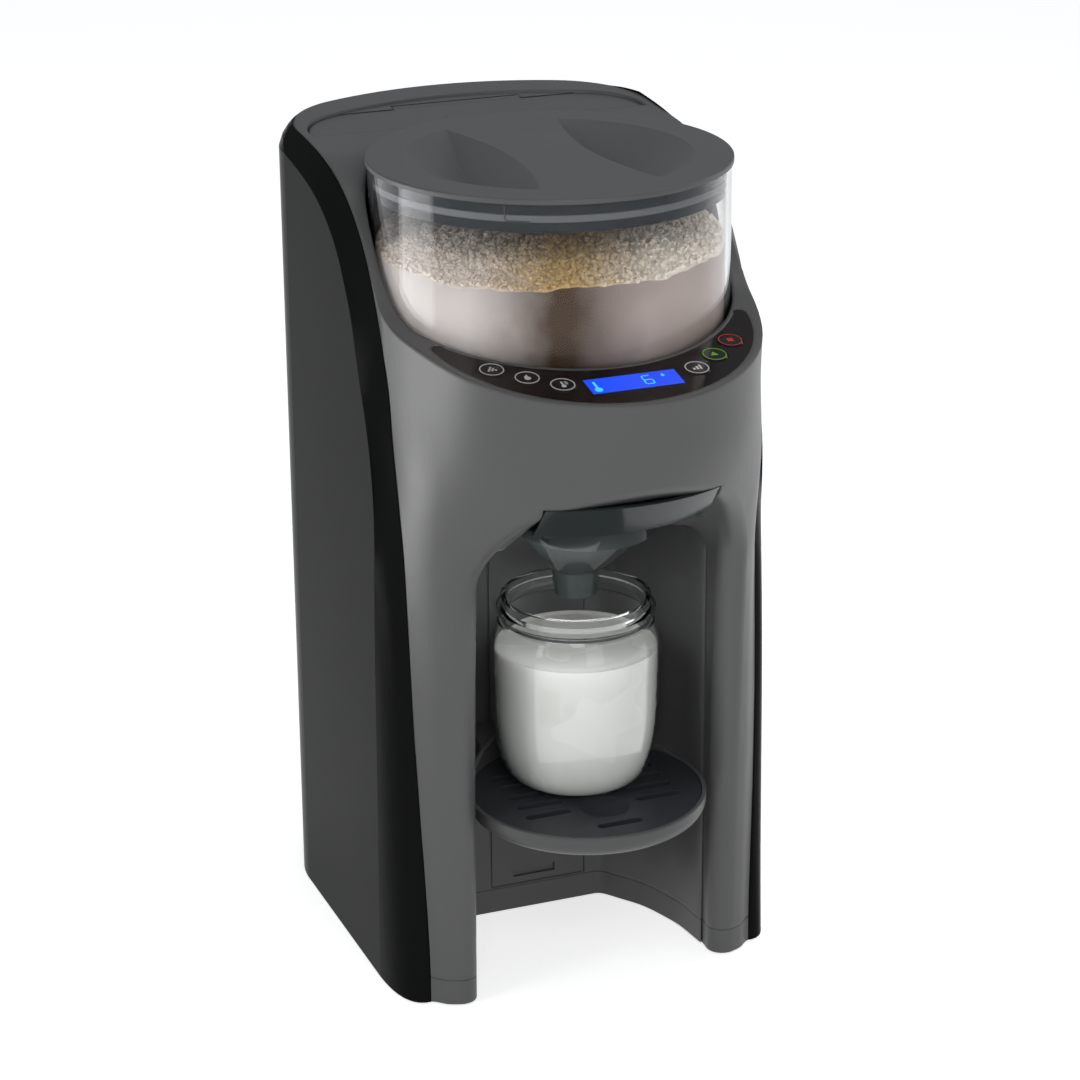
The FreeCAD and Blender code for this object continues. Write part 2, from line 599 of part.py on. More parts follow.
bracket_plate = block("bracket_plate", -26, 26, 8, 45.8, 232.1, 234.1)
bracket_leg = block("bracket_leg", -26, 26, 43.8, 45.8, 214, 232.1)
bracket_hole = rod("bracket_hole", 6.2, 10, 0, MOTOR_Y, 230)
cut("motor_bracket", fused("bracket_body", bracket_plate, bracket_leg), bracket_hole)

# ---------------------------------------------------------------- hopper, powder and wheel
turned("hopper_seal", [("jar_radius-9", "seat_top"), ("jar_radius-3", "seat_top"),
                       ("jar_radius-3", "jar_bottom-4.6"), ("jar_radius-9", "jar_bottom-4.6")], "hopper_y")
floor_disc = turned("floor_disc", [(8, "jar_bottom-4.5"), ("jar_radius-0.1", "jar_bottom-4.5"),
                                   ("jar_radius-0.1", "jar_bottom"), (8, "jar_bottom")], "hopper_y")
floor_outlet = rod("floor_outlet", 9, 12, 0, OUTLET_Y, "jar_bottom-8")
cut("hopper_floor", floor_disc, floor_outlet)
turned("hopper_jar", [("jar_radius-jar_wall", "jar_bottom"), ("jar_radius", "jar_bottom"),
                      ("jar_radius", "jar_top"), ("jar_radius-jar_wall", "jar_top")], "hopper_y")
wheel_disc = turned("wheel_disc", [(0, "jar_bottom+7.6"), ("shaft_radius+fit", "jar_bottom+7.6"),
                                   ("shaft_radius+fit", "jar_bottom-3"), (7.5, "jar_bottom-3"),
                                   (7.5, "jar_bottom+0.3"), ("jar_radius-jar_wall-1", "jar_bottom+0.3"),
                                   ("jar_radius-jar_wall-1", "jar_bottom+4.3"), (12, "jar_bottom+4.3"),
                                   (9, "jar_bottom+12"), (0, "jar_bottom+12")], "hopper_y")
WHEEL_POCKETS = 8
pockets = []
for number in range(WHEEL_POCKETS):
    turn = "360*%d/%d" % (number, WHEEL_POCKETS)
    pockets.append(rod("wheel_pocket_%d" % number, 9, 12, "46*sin(%s)" % turn,
                       "hopper_y+46*cos(%s)" % turn, "jar_bottom-2"))
cut("dispensing_wheel", wheel_disc, *pockets)
scraper_bar = block("scraper_bar", "-(jar_radius-jar_wall)+0.5", -16, "hopper_y-5", "hopper_y+5",
                    "jar_bottom+5", "jar_bottom+8")
scraper_round = rod("scraper_round", "jar_radius-jar_wall-0.02", 30, 0, "hopper_y", 260)
common("powder_scraper", scraper_bar, scraper_round)
turned("powder_fill", [(14, "jar_bottom+14"), ("jar_radius-jar_wall-0.3", "jar_bottom+14"),
                       ("jar_radius-jar_wall-0.3", "powder_level"), (50, "powder_level+1"),
                       (20, "powder_level-2"), (0, "powder_level-3"), (0, "jar_bottom+20"),
                       (14, "jar_bottom+20")], "hopper_y")

# ---------------------------------------------------------------- hopper lid
GRIP_TOP = [(16, 0), (18.5, 28), (25.5, 56)]
GRIP_FOOT = [(33, 0), (34, 28), (36, 56)]
GRIP_END = 64


def grip_outline(half_points, z, inset=0.0):
    """A waisted bar seen from above, narrow in the middle."""
    right = [Vector(x - inset, -y, z) for x, y in reversed(half_points[1:])]
    right += [Vector(x - inset, y, z) for x, y in half_points]
    left = [Vector(-spot.x, spot.y, z) for spot in right]
    end = half_points[-1][0] - inset
    corners = [Vector(x, y, z) for x, y in ((end, GRIP_END), (-end, GRIP_END),
                                            (-end, -GRIP_END), (end, -GRIP_END))]
    return Part.Wire([spline(right), line(right[-1], corners[0]), line(corners[0], corners[1]),
                      line(corners[1], left[-1]), spline(left[::-1]), line(left[0], corners[2]),
                      line(corners[2], corners[3]), line(corners[3], right[0])])


def dish(radius, floor_radius, floor_z, top_z):
    """A shallow round dish as a solid of revolution."""
    outline = [(0, floor_z), (floor_radius, floor_z), (radius, top_z), (0, top_z)]
    corners = [Vector(x, 0, z) for x, z in outline]
    return Part.Face(Part.makePolygon(corners + corners[:1])).revolve(Vector(0, 0, 0), Vector(0, 0, 1), 360)


def lid_shape():
    """The cap: a thin disc with two finger hollows on either side of a waisted grip bar."""
    low, top, floor, skin = dim("lid_bottom"), dim("lid_top"), dim("hollow_floor"), 1.8
    rim = dim("lid_radius")
    cap = upright_cylinder(rim, 0, 0, low, top)
    cap = cap.makeFillet(0.8, [edge for edge in cap.Edges if edge.Curve.TypeId == "Part::GeomCircle"
                               and middle(edge).z > top - 0.01])
    bulge = dish(62.4, 34, floor - skin, low + 0.2)
    bar = Part.makeLoft([grip_outline(GRIP_FOOT, floor - 0.5), grip_outline(GRIP_TOP, top + 0.5)], True, True)
    core = Part.makeLoft([grip_outline(GRIP_FOOT, floor - skin - 1, 2.4),
                          grip_outline(GRIP_TOP, top - skin, 2.4)], True, True)
    hollows = dish(60, 34, floor, top + 0.05).cut(bar)
    inside = dish(60, 31, floor - skin - 0.5, low).common(core)
    lid = cap.fuse(bulge).cut(hollows).cut(inside)
    lid.translate(Vector(0, hopper_y, 0))
    return lid.removeSplitter()


shaped("lid_cap", lid_shape())
BAND_RADIUS = "jar_radius-jar_wall-0.35"
GROOVE = BAND_RADIUS + "-1.3"
turned("lid_skirt", [(BAND_RADIUS + "-band_wall", "band_bottom"), (BAND_RADIUS, "band_bottom"),
                     (BAND_RADIUS, "band_bottom+4"), (GROOVE, "band_bottom+4"), (GROOVE, "band_bottom+7"),
                     (BAND_RADIUS, "band_bottom+7"), (BAND_RADIUS, "lid_bottom"),
                     (BAND_RADIUS + "-band_wall", "lid_bottom")], "hopper_y")
SEAL_IN, SEAL_OUT = GROOVE + "+0.05", BAND_RADIUS + "+0.25"
turned("lid_seal", [(SEAL_IN, "band_bottom+4.1"), (SEAL_OUT, "band_bottom+4.1"),
                    (SEAL_OUT, "band_bottom+6.9"), (SEAL_IN, "band_bottom+6.9")], "hopper_y")

# ---------------------------------------------------------------- funnel and its guide
FLANGE_TOP = ((37.9, -107), (0, -116.2), 235.2)
FLANGE_LOW = ((38.3, -93.5), (0, -103), 219.5)


def flange_outline(spots, shift):
    """The flange's outline at one height: bulged front and straight back."""
    (half, side_y), (_, nose_y), z = spots
    right, left = Vector(half, side_y + shift, z), Vector(-half, side_y + shift, z)
    return joined(Part.Arc(right, Vector(0, nose_y + shift, z), left).toShape(), line(left, right))


def funnel_shape():
    """Sloping front flange, flat deck with two rails, oblique bowl and a straight spout."""
    wall, rim, deck_z = dim("funnel_wall"), dim("funnel_rim"), dim("funnel_deck")
    radius, spout, low = dim("funnel_radius"), dim("spout_radius"), dim("spout_bottom")
    bowl_y, spout_y = dim("funnel_y"), dim("bottle_y")
    throat = 184

    def circle(r, y, z):
        return Part.Wire(Part.makeCircle(r, Vector(0, y, z)))

    flange = Part.makeLoft([flange_outline(FLANGE_LOW, 0), flange_outline(FLANGE_TOP, 0)], True, True)
    behind = Part.makeLoft([flange_outline(FLANGE_LOW, 3), flange_outline(FLANGE_TOP, 3)], True, True)
    flange = flange.cut(behind)
    deck = upright_box(-34.5, 34.5, -97, bowl_y, deck_z, deck_z + 2)
    rails = upright_box(-38.3, 38.3, -93, bowl_y + 10, deck_z, deck_z + 2)
    outside = [Part.makeLoft([circle(spout + 1.4, spout_y, throat), circle(radius, bowl_y, rim)], True, True),
               upright_cylinder(radius, 0, bowl_y, rim, deck_z + 2),
               Part.makeLoft([circle(spout, spout_y, low), circle(spout + 1.4, spout_y, throat)], True, True)]
    inside = [Part.makeLoft([circle(spout, spout_y, throat), circle(radius - wall, bowl_y, rim)], True, True),
              upright_cylinder(radius - wall, 0, bowl_y, rim, deck_z + 5),
              Part.makeLoft([circle(spout - wall, spout_y, low - 1), circle(spout, spout_y, throat)],
                            True, True)]
    body = flange.fuse([deck, rails] + outside)
    return body.cut(inside).removeSplitter()


shaped("funnel", funnel_shape())
guide_half = dim("slot_half") + 0.2
guide = upright_box(-guide_half - 2.2, guide_half + 2.2, -112, -24, 206, 234.5)
guide = guide.cut(upright_box(-guide_half, guide_half, -120, -26.5, 200, 232))
for side in (-1, 1):
    inner, outer = side * 35.6, side * (guide_half + 1)
    ledge = upright_box(min(inner, outer), max(inner, outer), -95, -27, 214.5, 219.2)
    guide = guide.fuse(ledge)
NOZZLE = (18, -60)
guide = guide.common(cavity).cut([upright_cylinder(10.8, 0, OUTLET_Y, 220, 240),
                                  upright_cylinder(3.2, NOZZLE[0], NOZZLE[1], 220, 240)])
shaped("funnel_guide", guide)
turned("water_nozzle", [(1.6, 225), (3, 225), (3, 244), (1.6, 244)], NOZZLE[1], NOZZLE[0])

# ---------------------------------------------------------------- drip tray
tray_y = dim("tray_y")
SLOT_ROWS = (22.6, 12.3, 2.1, -8.1, -18.5)
SLOT_X = 25.2
plate = rod("grid_plate", "grid_radius", "grid_thick", 0, "tray_y", "grid_top-grid_thick")
slot_tools = []
for row_number, row_y in enumerate(SLOT_ROWS):
    for side_number, side in enumerate((-1, 1)):
        centre, row = str(side * SLOT_X), "tray_y+(%s)" % row_y
        slot_tools.append(block("slot_%d_%d" % (row_number, side_number),
                                centre + "-slot_length/2", centre + "+slot_length/2",
                                row + "-slot_width/2", row + "+slot_width/2", 70, 100))
FRONT_SLOT_ROW = "tray_y-37.6"
slot_tools.append(block("slot_front", -9.6, 9.6, FRONT_SLOT_ROW + "-slot_width/2",
                        FRONT_SLOT_ROW + "+slot_width/2", 70, 100))
dimple = solid("Sphere", "dimple", 0, "tray_y-20.2", "grid_top+22.8", Radius=25)
cut("tray_grid", plate, fused("grid_slots", *slot_tools), dimple)


def bowl_shape():
    """A round bowl whose rim rises behind the bottle to meet the bracket."""
    bottom, wall, rim = dim("bowl_bottom"), dim("bowl_wall"), dim("grid_top") + 0.3
    outer, inner = dim("bowl_radius"), dim("grid_radius") + 0.35
    high = 97
    round_low = 6
    profile = [Vector(0, 0, bottom), Vector(outer - round_low, 0, bottom)]
    curve = Part.Arc(profile[-1], Vector(outer - round_low * 0.293, 0, bottom + round_low * 0.293),
                     Vector(outer, 0, bottom + round_low)).toShape()
    wire = Part.Wire([line(profile[0], profile[1]), curve, line(Vector(outer, 0, bottom + round_low),
                      Vector(outer, 0, high)), line(Vector(outer, 0, high), Vector(0, 0, high)),
                      line(Vector(0, 0, high), profile[0])])
    bowl = Part.Face(wire).revolve(Vector(0, 0, 0), Vector(0, 0, 1), 360)
    ledge = dim("grid_top") - dim("grid_thick") - 0.2
    bowl = bowl.cut([upright_cylinder(inner, 0, 0, ledge, 120),
                     upright_cylinder(inner - 2.2, 0, 0, bottom + wall, 120)])
    slope = [Vector(-80, -80, rim), Vector(-80, 14, rim), Vector(-80, 30, rim + 2.6), Vector(-80, 44, high),
             Vector(-80, 80, high), Vector(-80, 80, 130), Vector(-80, -80, 130)]
    bowl = bowl.cut(polygon_prism(slope, Vector(160, 0, 0)))
    bowl.translate(Vector(0, tray_y, 0))
    return bowl


bowl = bowl_shape()
shaped("tray_bowl", bowl)
bracket_front = upright_cylinder(dim("bowl_radius") + 0.3, 0, tray_y, 60, 120)
bracket = upright_box(-34, 34, -30, dim("bay_back") - 0.3, dim("bowl_bottom") + 1, 96.5).cut(bracket_front)
bracket = bracket.common(bay_tool(-1.2))
shaped("tray_bracket", bracket)

# ---------------------------------------------------------------- bottle and its fill
BOTTLE = [(22, 86.6), (28, 90), (32, 96), (34, 103), (35.5, 113), (36.2, 127), (36.5, 141), (36.2, 151),
          (35, 156), (33.5, 160.5)]
NECK = [(32.4, 162), (32.4, 163.5), (34, 165), (34, 167), (32, 168.4)]


def bottle_profile(inset):
    """Half outline of the bottle's side, moved inwards by an inset."""
    side = [Vector(r - inset, 0, z + (inset if number == 0 else 0)) for number, (r, z) in enumerate(BOTTLE)]
    return side


def bottle_solid(inset, top):
    """The bottle's outer or inner form as a solid of revolution up to a height."""
    side = bottle_profile(inset)
    edges = [line(Vector(0, 0, side[0].z), side[0]), spline(side)]
    last = side[-1]
    if inset == 0:
        for r, z in NECK + [(NECK[-1][0], top)]:
            spot = Vector(r, 0, z)
            edges.append(line(last, spot))
            last = spot
    else:
        spot = Vector(NECK[0][0] - inset - 1, 0, NECK[0][1] + 0.5)
        edges += [line(last, spot), line(spot, Vector(spot.x, 0, top))]
        last = Vector(spot.x, 0, top)
    edges += [line(last, Vector(0, 0, top)), line(Vector(0, 0, top), Vector(0, 0, side[0].z))]
    form = Part.Face(Part.Wire(edges)).revolve(Vector(0, 0, 0), Vector(0, 0, 1), 360)
    form.translate(Vector(0, dim("bottle_y"), 0))
    return form


shaped("bottle", bottle_solid(0, dim("bottle_rim")).cut(bottle_solid(dim("bottle_wall"), 190)))
MENISCUS = 1.1
MENISCUS_REACH = 3.2


def formula_shape():
    """Prepared formula up to its level, its surface drawn up a little against the wall."""
    level, wall_radius = dim("milk_level"), BOTTLE[-3][0] - dim("bottle_wall")
    flat_radius = wall_radius - MENISCUS_REACH
    start, end = Vector(flat_radius, 0, level), Vector(wall_radius + 0.4, 0, level + MENISCUS)
    bend = Part.Arc(start, Vector(wall_radius - 1, 0, level + 0.3 * MENISCUS), end).toShape()
    top = level + 20
    corners = [end, Vector(60, 0, end.z), Vector(60, 0, top), Vector(0, 0, top), Vector(0, 0, level), start]
    outline = Part.Wire([bend] + [line(before, after) for before, after in zip(corners, corners[1:])])
    air = Part.Face(outline).revolve(Vector(0, 0, 0), Vector(0, 0, 1), 360)
    air.translate(Vector(0, dim("bottle_y"), 0))
    return bottle_solid(dim("bottle_wall") + 0.05, top - 1).cut(air)


shaped("formula_fill", formula_shape())

# ---------------------------------------------------------------- water tank, lid and valve
tank_half, tank_front, tank_back = dim("tank_half"), dim("tank_front"), dim("tank_back")
tank_wall, tank_bottom = dim("tank_wall"), dim("tank_bottom")
HINGE_Y = 95.2
hinge_z = crown_height(HINGE_Y, -2.4)
under_lid = band(crown_height, -400, -4.2)
tank = plan_prism(tank_half, tank_front, tank_back, 24, tank_bottom, 380).common(under_lid)
inside = plan_prism(tank_half - tank_wall, tank_front + tank_wall, tank_back - tank_wall, 22.4,
                    tank_bottom + 2, 380)
VALVE_Y = 82
neck = upright_cylinder(9, 0, VALVE_Y, 25, tank_bottom + 0.5)
neck_bore = [upright_cylinder(6.5, 0, VALVE_Y, 20, 28.5),
             upright_cylinder(4.2, 0, VALVE_Y, 28, tank_bottom + 5)]
LID_SUNK = 1.2
lid_room = plan_prism(76.5, 61.6, 102.9, 27.6, 300, 380)
strip = lid_room.common(band(crown_height, 0.3 - LID_REBATE, -LID_SUNK))
strip = strip.common(upright_box(-60, 60, 92.5, 120, 330, 380))
strip = strip.cut(upright_box(-30, 30, 90, 97.4, 330, 380))
strip_root = plan_prism(tank_half, tank_front, tank_back, 24, 300, 380).common(band(crown_height, -8, -3.5))
strip_root = strip_root.common(upright_box(-60, 60, 97.6, 120, 330, 380))
ears = [upright_box(x0, x0 + EAR_WIDTH, 93.4, EAR_BACK, hinge_z - 6, hinge_z + 1.1)
        for x0 in (-EAR_X - EAR_WIDTH, EAR_X)]
tank = tank.cut(inside).fuse([neck, strip, strip_root] + ears).cut(neck_bore)
hinge_bore = Part.makeCylinder(1.0, 90, Vector(-45, HINGE_Y, hinge_z), Vector(1, 0, 0))
tank = tank.cut(hinge_bore)
shaped("water_tank", tank)
HINGE_Z = "crown_rear_z-crown_slope*(form_back-%s)-2.4" % HINGE_Y
hinge_pin = rod("tank_lid_pin", 0.95, 65, -32.5, HINGE_Y, HINGE_Z)
hinge_pin.Placement = Placement(hinge_pin.Placement.Base, Rotation(Vector(0, 1, 0), 90))
# The flap's rear corners swing back as they rise, so they keep further off the rebate's wall.
flap_room = plan_prism(76.5, 61.6, 101.9, 27.6, 300, 380)
lid_sheet = flap_room.common(band(crown_height, 0.5 - LID_REBATE, -LID_SUNK))
flap = lid_sheet.cut(upright_box(-90, 90, 92, 140, 330, 380))
tongue = lid_sheet.common(upright_box(-29.8, 29.8, 90, HINGE_Y, 330, 380))
roll = Part.makeCylinder(1.7, 59.6, Vector(-29.8, HINGE_Y, hinge_z), Vector(1, 0, 0))
flap = flap.fuse([tongue, roll]).cut(hinge_bore)
finger_tab = upright_cylinder(15, 0, 64, 300, 380).common(band(crown_height, -1.3, -0.1))
finger_tab = finger_tab.common(upright_box(-20, 20, 61.8, 90, 300, 380))
shaped("tank_lid", flap.fuse(finger_tab))
cradle = plan_prism(73.6, 61.7, 101.5, 25.9, 27, 200).cut(plan_prism(72.2, 63.1, 100.1, 24.5, 30.5, 210))
socket = upright_cylinder(12, 0, VALVE_Y, 17, 28).cut(upright_cylinder(7, 0, VALVE_Y, 19, 40))
cradle = cradle.fuse([socket, upright_cylinder(1.6, 0, VALVE_Y, 16, 18)])
cradle = cradle.cut([upright_cylinder(9.4, 0, VALVE_Y, 24.6, 40), upright_cylinder(0.9, 0, VALVE_Y, 10, 40)])
shaped("tank_cradle", cradle)
turned("valve_seal", [(9.2, 31.1), (9.2, 30.5), (11.8, 30.5), (11.8, 31.1)], VALVE_Y)
turned("tank_valve", [(0, 26.2), (3.8, 26.2), (3.8, 27.8), (1.4, 27.8), (1.4, 33.8), (6, 33.8), (6, 36),
                      (0, 36)], VALVE_Y)

# ---------------------------------------------------------------- water path and electrics
chassis_plate = block("chassis_plate", -58, 58, 46, 48, 22, 231)
chassis_foot = block("chassis_foot", -58, 58, 46, 56, 20, 22)
PUMP_X, HEATER_X, WATER_PATH_Y = -30, 28, 27
turned("pump", [(0, 24), (3, 24), (3, 30), (13, 30), (13, 62), (11, 62), (11, 84), (3, 84), (3, 90),
                (0, 90)], WATER_PATH_Y, PUMP_X)
turned("heater", [(0, 112), (3, 112), (3, 118), (14, 118), (14, 184), (3, 184), (3, 190), (0, 190)],
       WATER_PATH_Y, HEATER_X)
pump_cradle = block("pump_cradle", -46, -14, 41, 46.5, 34, 58)
block("heater_clamp", 12, 44, 41.6, 46, 140, 152)
block("main_board", -54, -4, 42, 43.6, 108, 180)
post_spots = [(-50, 112), (-8, 112), (-50, 176), (-8, 176)]
posts = []
for number, (post_x, post_z) in enumerate(post_spots):
    post = rod("board_post_%d" % number, 2, 2.9, post_x, 46.5, post_z)
    post.Placement = Placement(post.Placement.Base, Rotation(Vector(1, 0, 0), 90))
    posts.append(post)
fused("chassis", chassis_plate, chassis_foot, pump_cradle, *posts)
block("mains_transformer", 14, 44, 24, 44, 64, 96)


def hose_shape(points, radius, bend):
    """A hose along straight runs joined by round bends."""
    spots = [Vector(*point) for point in points]
    edges = []
    start = spots[0]
    for before, corner, after in zip(spots, spots[1:], spots[2:]):
        way_in, way_out = (corner - before).normalize(), (after - corner).normalize()
        turn = way_in.getAngle(way_out)
        reach = bend * math.tan(turn / 2)
        first, last = corner - way_in * reach, corner + way_out * reach
        inward = (way_out - way_in).normalize()
        mid = corner + inward * (bend / math.cos(turn / 2) - bend)
        edges += [line(start, first), Part.Arc(first, mid, last).toShape()]
        start = last
    edges.append(line(start, spots[-1]))
    path = Part.Wire(edges)
    ring = Part.Wire(Part.makeCircle(radius, spots[0], spots[1] - spots[0]))
    return path.makePipeShell([ring], True, True)


HOSE_RUNS = {
    "suction_hose": [(0, VALVE_Y, 16), (0, VALVE_Y, 8.5), (0, 45, 8.5), (PUMP_X, WATER_PATH_Y, 8.5),
                     (PUMP_X, WATER_PATH_Y, 24)],
    "pump_hose": [(PUMP_X, WATER_PATH_Y, 90), (PUMP_X, WATER_PATH_Y, 101), (HEATER_X, WATER_PATH_Y, 101),
                  (HEATER_X, WATER_PATH_Y, 112)],
    "nozzle_hose": [(HEATER_X, WATER_PATH_Y, 190), (HEATER_X, WATER_PATH_Y, 204), (60, WATER_PATH_Y, 204),
                    (60, WATER_PATH_Y, 249), (60, -20, 249), NOZZLE + (249,), NOZZLE + (244,)],
}
HOSE_RADIUS, HOSE_BEND = 2.6, 4
for hose_name, run in HOSE_RUNS.items():
    shaped(hose_name, hose_shape(run, HOSE_RADIUS, HOSE_BEND))
inlet_body = block("inlet_body", INLET_X - 14, INLET_X + 14, 103, 118.6, INLET_Z - 10, INLET_Z + 10)
inlet_recess = block("inlet_recess", INLET_X - 11.5, INLET_X + 11.5, 106, 130, INLET_Z - 8, INLET_Z + 8)
socket_shell = cut("socket_shell", inlet_body, inlet_recess)
inlet_pins = []
for number, pin_x in enumerate((-7, 0, 7)):
    inlet_pins.append(block("inlet_pin_%d" % number, INLET_X + pin_x - 1, INLET_X + pin_x + 1, 105, 115,
                            INLET_Z - 2, INLET_Z + 2))
fused("power_inlet", socket_shell, *inlet_pins)

# ---------------------------------------------------------------- check and write
NODES = ["front_housing", "rear_housing", "base_shell", "rubber_feet", "base_screws", "bay_back_panel",
         "control_fascia", "lcd_window", "lcd_module", "control_board", "button_switches", "hopper_seat",
         "drive_bush", "powder_chute", "drive_shaft", "drive_gear", "motor_pinion", "gear_motor",
         "motor_shaft", "motor_bracket", "hopper_seal", "hopper_floor", "hopper_jar", "dispensing_wheel",
         "powder_scraper", "powder_fill", "lid_cap", "lid_skirt", "lid_seal", "funnel", "funnel_guide",
         "water_nozzle", "tray_grid", "tray_bowl", "tray_bracket", "bottle", "formula_fill", "water_tank",
         "tank_lid", "tank_lid_pin", "tank_cradle", "valve_seal", "tank_valve", "chassis", "pump", "heater",
         "heater_clamp", "main_board", "mains_transformer", "suction_hose",
         "pump_hose", "nozzle_hose", "power_inlet"] + list(BUTTONS)
doc.recompute()
for thing in doc.Objects:
    if "Invalid" in thing.State or "Error" in thing.State:
        raise RuntimeError("%s did not recompute: %s" % (thing.Name, thing.State))
for node in NODES:
    shape = doc.getObject(node).Shape
    doc.getObject(node).Label = node
    if shape.isNull() or not shape.isValid():
        raise RuntimeError("%s has no valid shape" % node)
    print("%-20s solids %d  volume %10.1f  z %7.2f..%7.2f" % (node, len(shape.Solids), shape.Volume,
                                                            shape.BoundBox.ZMin, shape.BoundBox.ZMax))
    shape.exportStep("parts/%s.step" % node)
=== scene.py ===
import json
import math
import random
import bmesh
import bpy
from mathutils import Euler, Matrix, Vector, noise


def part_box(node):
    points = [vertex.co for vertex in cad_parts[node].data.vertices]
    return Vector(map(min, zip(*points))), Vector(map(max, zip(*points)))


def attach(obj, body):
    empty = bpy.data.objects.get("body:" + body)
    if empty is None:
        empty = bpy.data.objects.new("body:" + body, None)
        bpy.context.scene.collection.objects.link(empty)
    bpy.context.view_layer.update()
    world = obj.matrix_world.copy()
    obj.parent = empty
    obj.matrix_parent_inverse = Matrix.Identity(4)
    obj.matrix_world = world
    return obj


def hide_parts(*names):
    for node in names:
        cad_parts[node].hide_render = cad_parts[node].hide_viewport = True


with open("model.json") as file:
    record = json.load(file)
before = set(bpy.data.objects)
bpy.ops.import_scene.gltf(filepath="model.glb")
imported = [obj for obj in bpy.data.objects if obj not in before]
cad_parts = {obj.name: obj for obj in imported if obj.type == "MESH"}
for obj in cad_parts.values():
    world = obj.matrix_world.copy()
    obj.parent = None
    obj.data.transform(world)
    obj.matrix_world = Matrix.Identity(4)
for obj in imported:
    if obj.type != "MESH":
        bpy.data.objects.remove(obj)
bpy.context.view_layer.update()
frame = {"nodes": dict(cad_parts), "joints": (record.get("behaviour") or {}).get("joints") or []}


# ---- Camera --------------------------------------------------------------------------
# A long lens in front of the machine, to its left and well above it, turned a
# third of a degree about its own axis.
CAMERA_PLACE = Vector((-0.47246, -1.21217, 0.67423))
CAMERA_AZIMUTH = math.radians(-21.354)
CAMERA_ELEVATION = math.radians(20.80)
CAMERA_ROLL = -0.006
camera_data = bpy.data.cameras.new("camera")
camera_data.lens = 106.55
camera_data.sensor_width = 36.0
camera_data.clip_start = 0.05
camera = bpy.data.objects.new("camera", camera_data)
bpy.context.scene.collection.objects.link(camera)
level = math.cos(CAMERA_ELEVATION)
back = Vector((math.sin(CAMERA_AZIMUTH) * level, -math.cos(CAMERA_AZIMUTH) * level,
               math.sin(CAMERA_ELEVATION)))
across = Vector((math.cos(CAMERA_AZIMUTH), math.sin(CAMERA_AZIMUTH), 0))
upward = back.cross(across)
right = across * math.cos(CAMERA_ROLL) + upward * math.sin(CAMERA_ROLL)
upward = upward * math.cos(CAMERA_ROLL) - across * math.sin(CAMERA_ROLL)
camera.matrix_world = Matrix.Translation(CAMERA_PLACE) @ Matrix((right, upward, back)).transposed().to_4x4()
bpy.context.scene.camera = camera
bpy.context.scene.view_settings.view_transform = "Standard"


# ---- Floor, surroundings and lights --------------------------------------------------
# A pale studio floor that stays white to the horizon but keeps the machine's
# shadow, with soft boxes at the left, in front, above and low at the right.
FLOOR_COLOUR = (0.93, 0.93, 0.93, 1)
FLOOR_GLOW = 0.66
SURROUND_COLOUR = (0.88, 0.91, 0.95, 1)
SURROUND_STRENGTH = 0.33


def seen_directly(tree):
    """One for the rays that the camera, gloss and glass send out, nought for those that light things."""
    path = tree.nodes.new("ShaderNodeLightPath")
    total = path.outputs["Is Camera Ray"]
    for kind in ("Is Glossy Ray", "Is Transmission Ray"):
        either = tree.nodes.new("ShaderNodeMath")
        either.operation = "MAXIMUM"
        tree.links.new(total, either.inputs[0])
        tree.links.new(path.outputs[kind], either.inputs[1])
        total = either.outputs[0]
    return total


world = bpy.data.worlds.new("studio")
bpy.context.scene.world = world
world.use_nodes = True
sky = world.node_tree
sky.nodes.clear()
path = sky.nodes.new("ShaderNodeLightPath")
lit = sky.nodes.new("ShaderNodeBackground")
lit.inputs["Color"].default_value = SURROUND_COLOUR
lit.inputs["Strength"].default_value = SURROUND_STRENGTH
white = sky.nodes.new("ShaderNodeBackground")
white.inputs["Color"].default_value = (1, 1, 1, 1)
white.inputs["Strength"].default_value = 1.0
sky_mix = sky.nodes.new("ShaderNodeMixShader")
sky_end = sky.nodes.new("ShaderNodeOutputWorld")
sky.links.new(path.outputs["Is Camera Ray"], sky_mix.inputs[0])
sky.links.new(lit.outputs[0], sky_mix.inputs[1])
sky.links.new(white.outputs[0], sky_mix.inputs[2])
sky.links.new(sky_mix.outputs[0], sky_end.inputs["Surface"])

bpy.ops.object.select_all(action="DESELECT")
bpy.ops.mesh.primitive_plane_add(size=10, location=(0, 0, 0))
floor = bpy.context.object
floor.name = "studio_floor"
floor_finish = bpy.data.materials.new("studio_white")
floor_finish.use_nodes = True
floor_tree = floor_finish.node_tree
floor_shader = floor_tree.nodes["Principled BSDF"]
floor_shader.inputs["Base Color"].default_value = FLOOR_COLOUR
floor_shader.inputs["Roughness"].default_value = 0.9
floor_shader.inputs["Specular IOR Level"].default_value = 0.1
floor_shader.inputs["Emission Color"].default_value = (1, 1, 1, 1)
floor_glow = floor_tree.nodes.new("ShaderNodeMath")
floor_glow.operation = "MULTIPLY"
floor_glow.inputs[1].default_value = FLOOR_GLOW
floor_tree.links.new(seen_directly(floor_tree), floor_glow.inputs[0])
floor_tree.links.new(floor_glow.outputs[0], floor_shader.inputs["Emission Strength"])
floor.data.materials.append(floor_finish)


def soft_box(name, place, aim, width, height, power, gloss_only=False):
    """An area light at a place, aimed at a point, or a card that only shows in gloss."""
    data = bpy.data.lights.new(name, "AREA")
    data.shape = "RECTANGLE"
    data.size, data.size_y, data.energy = width, height, power
    lamp = bpy.data.objects.new(name, data)
    lamp.location = place
    lamp.rotation_euler = (Vector(place) - Vector(aim)).to_track_quat("Z", "Y").to_euler()
    lamp.visible_diffuse = not gloss_only
    bpy.context.scene.collection.objects.link(lamp)


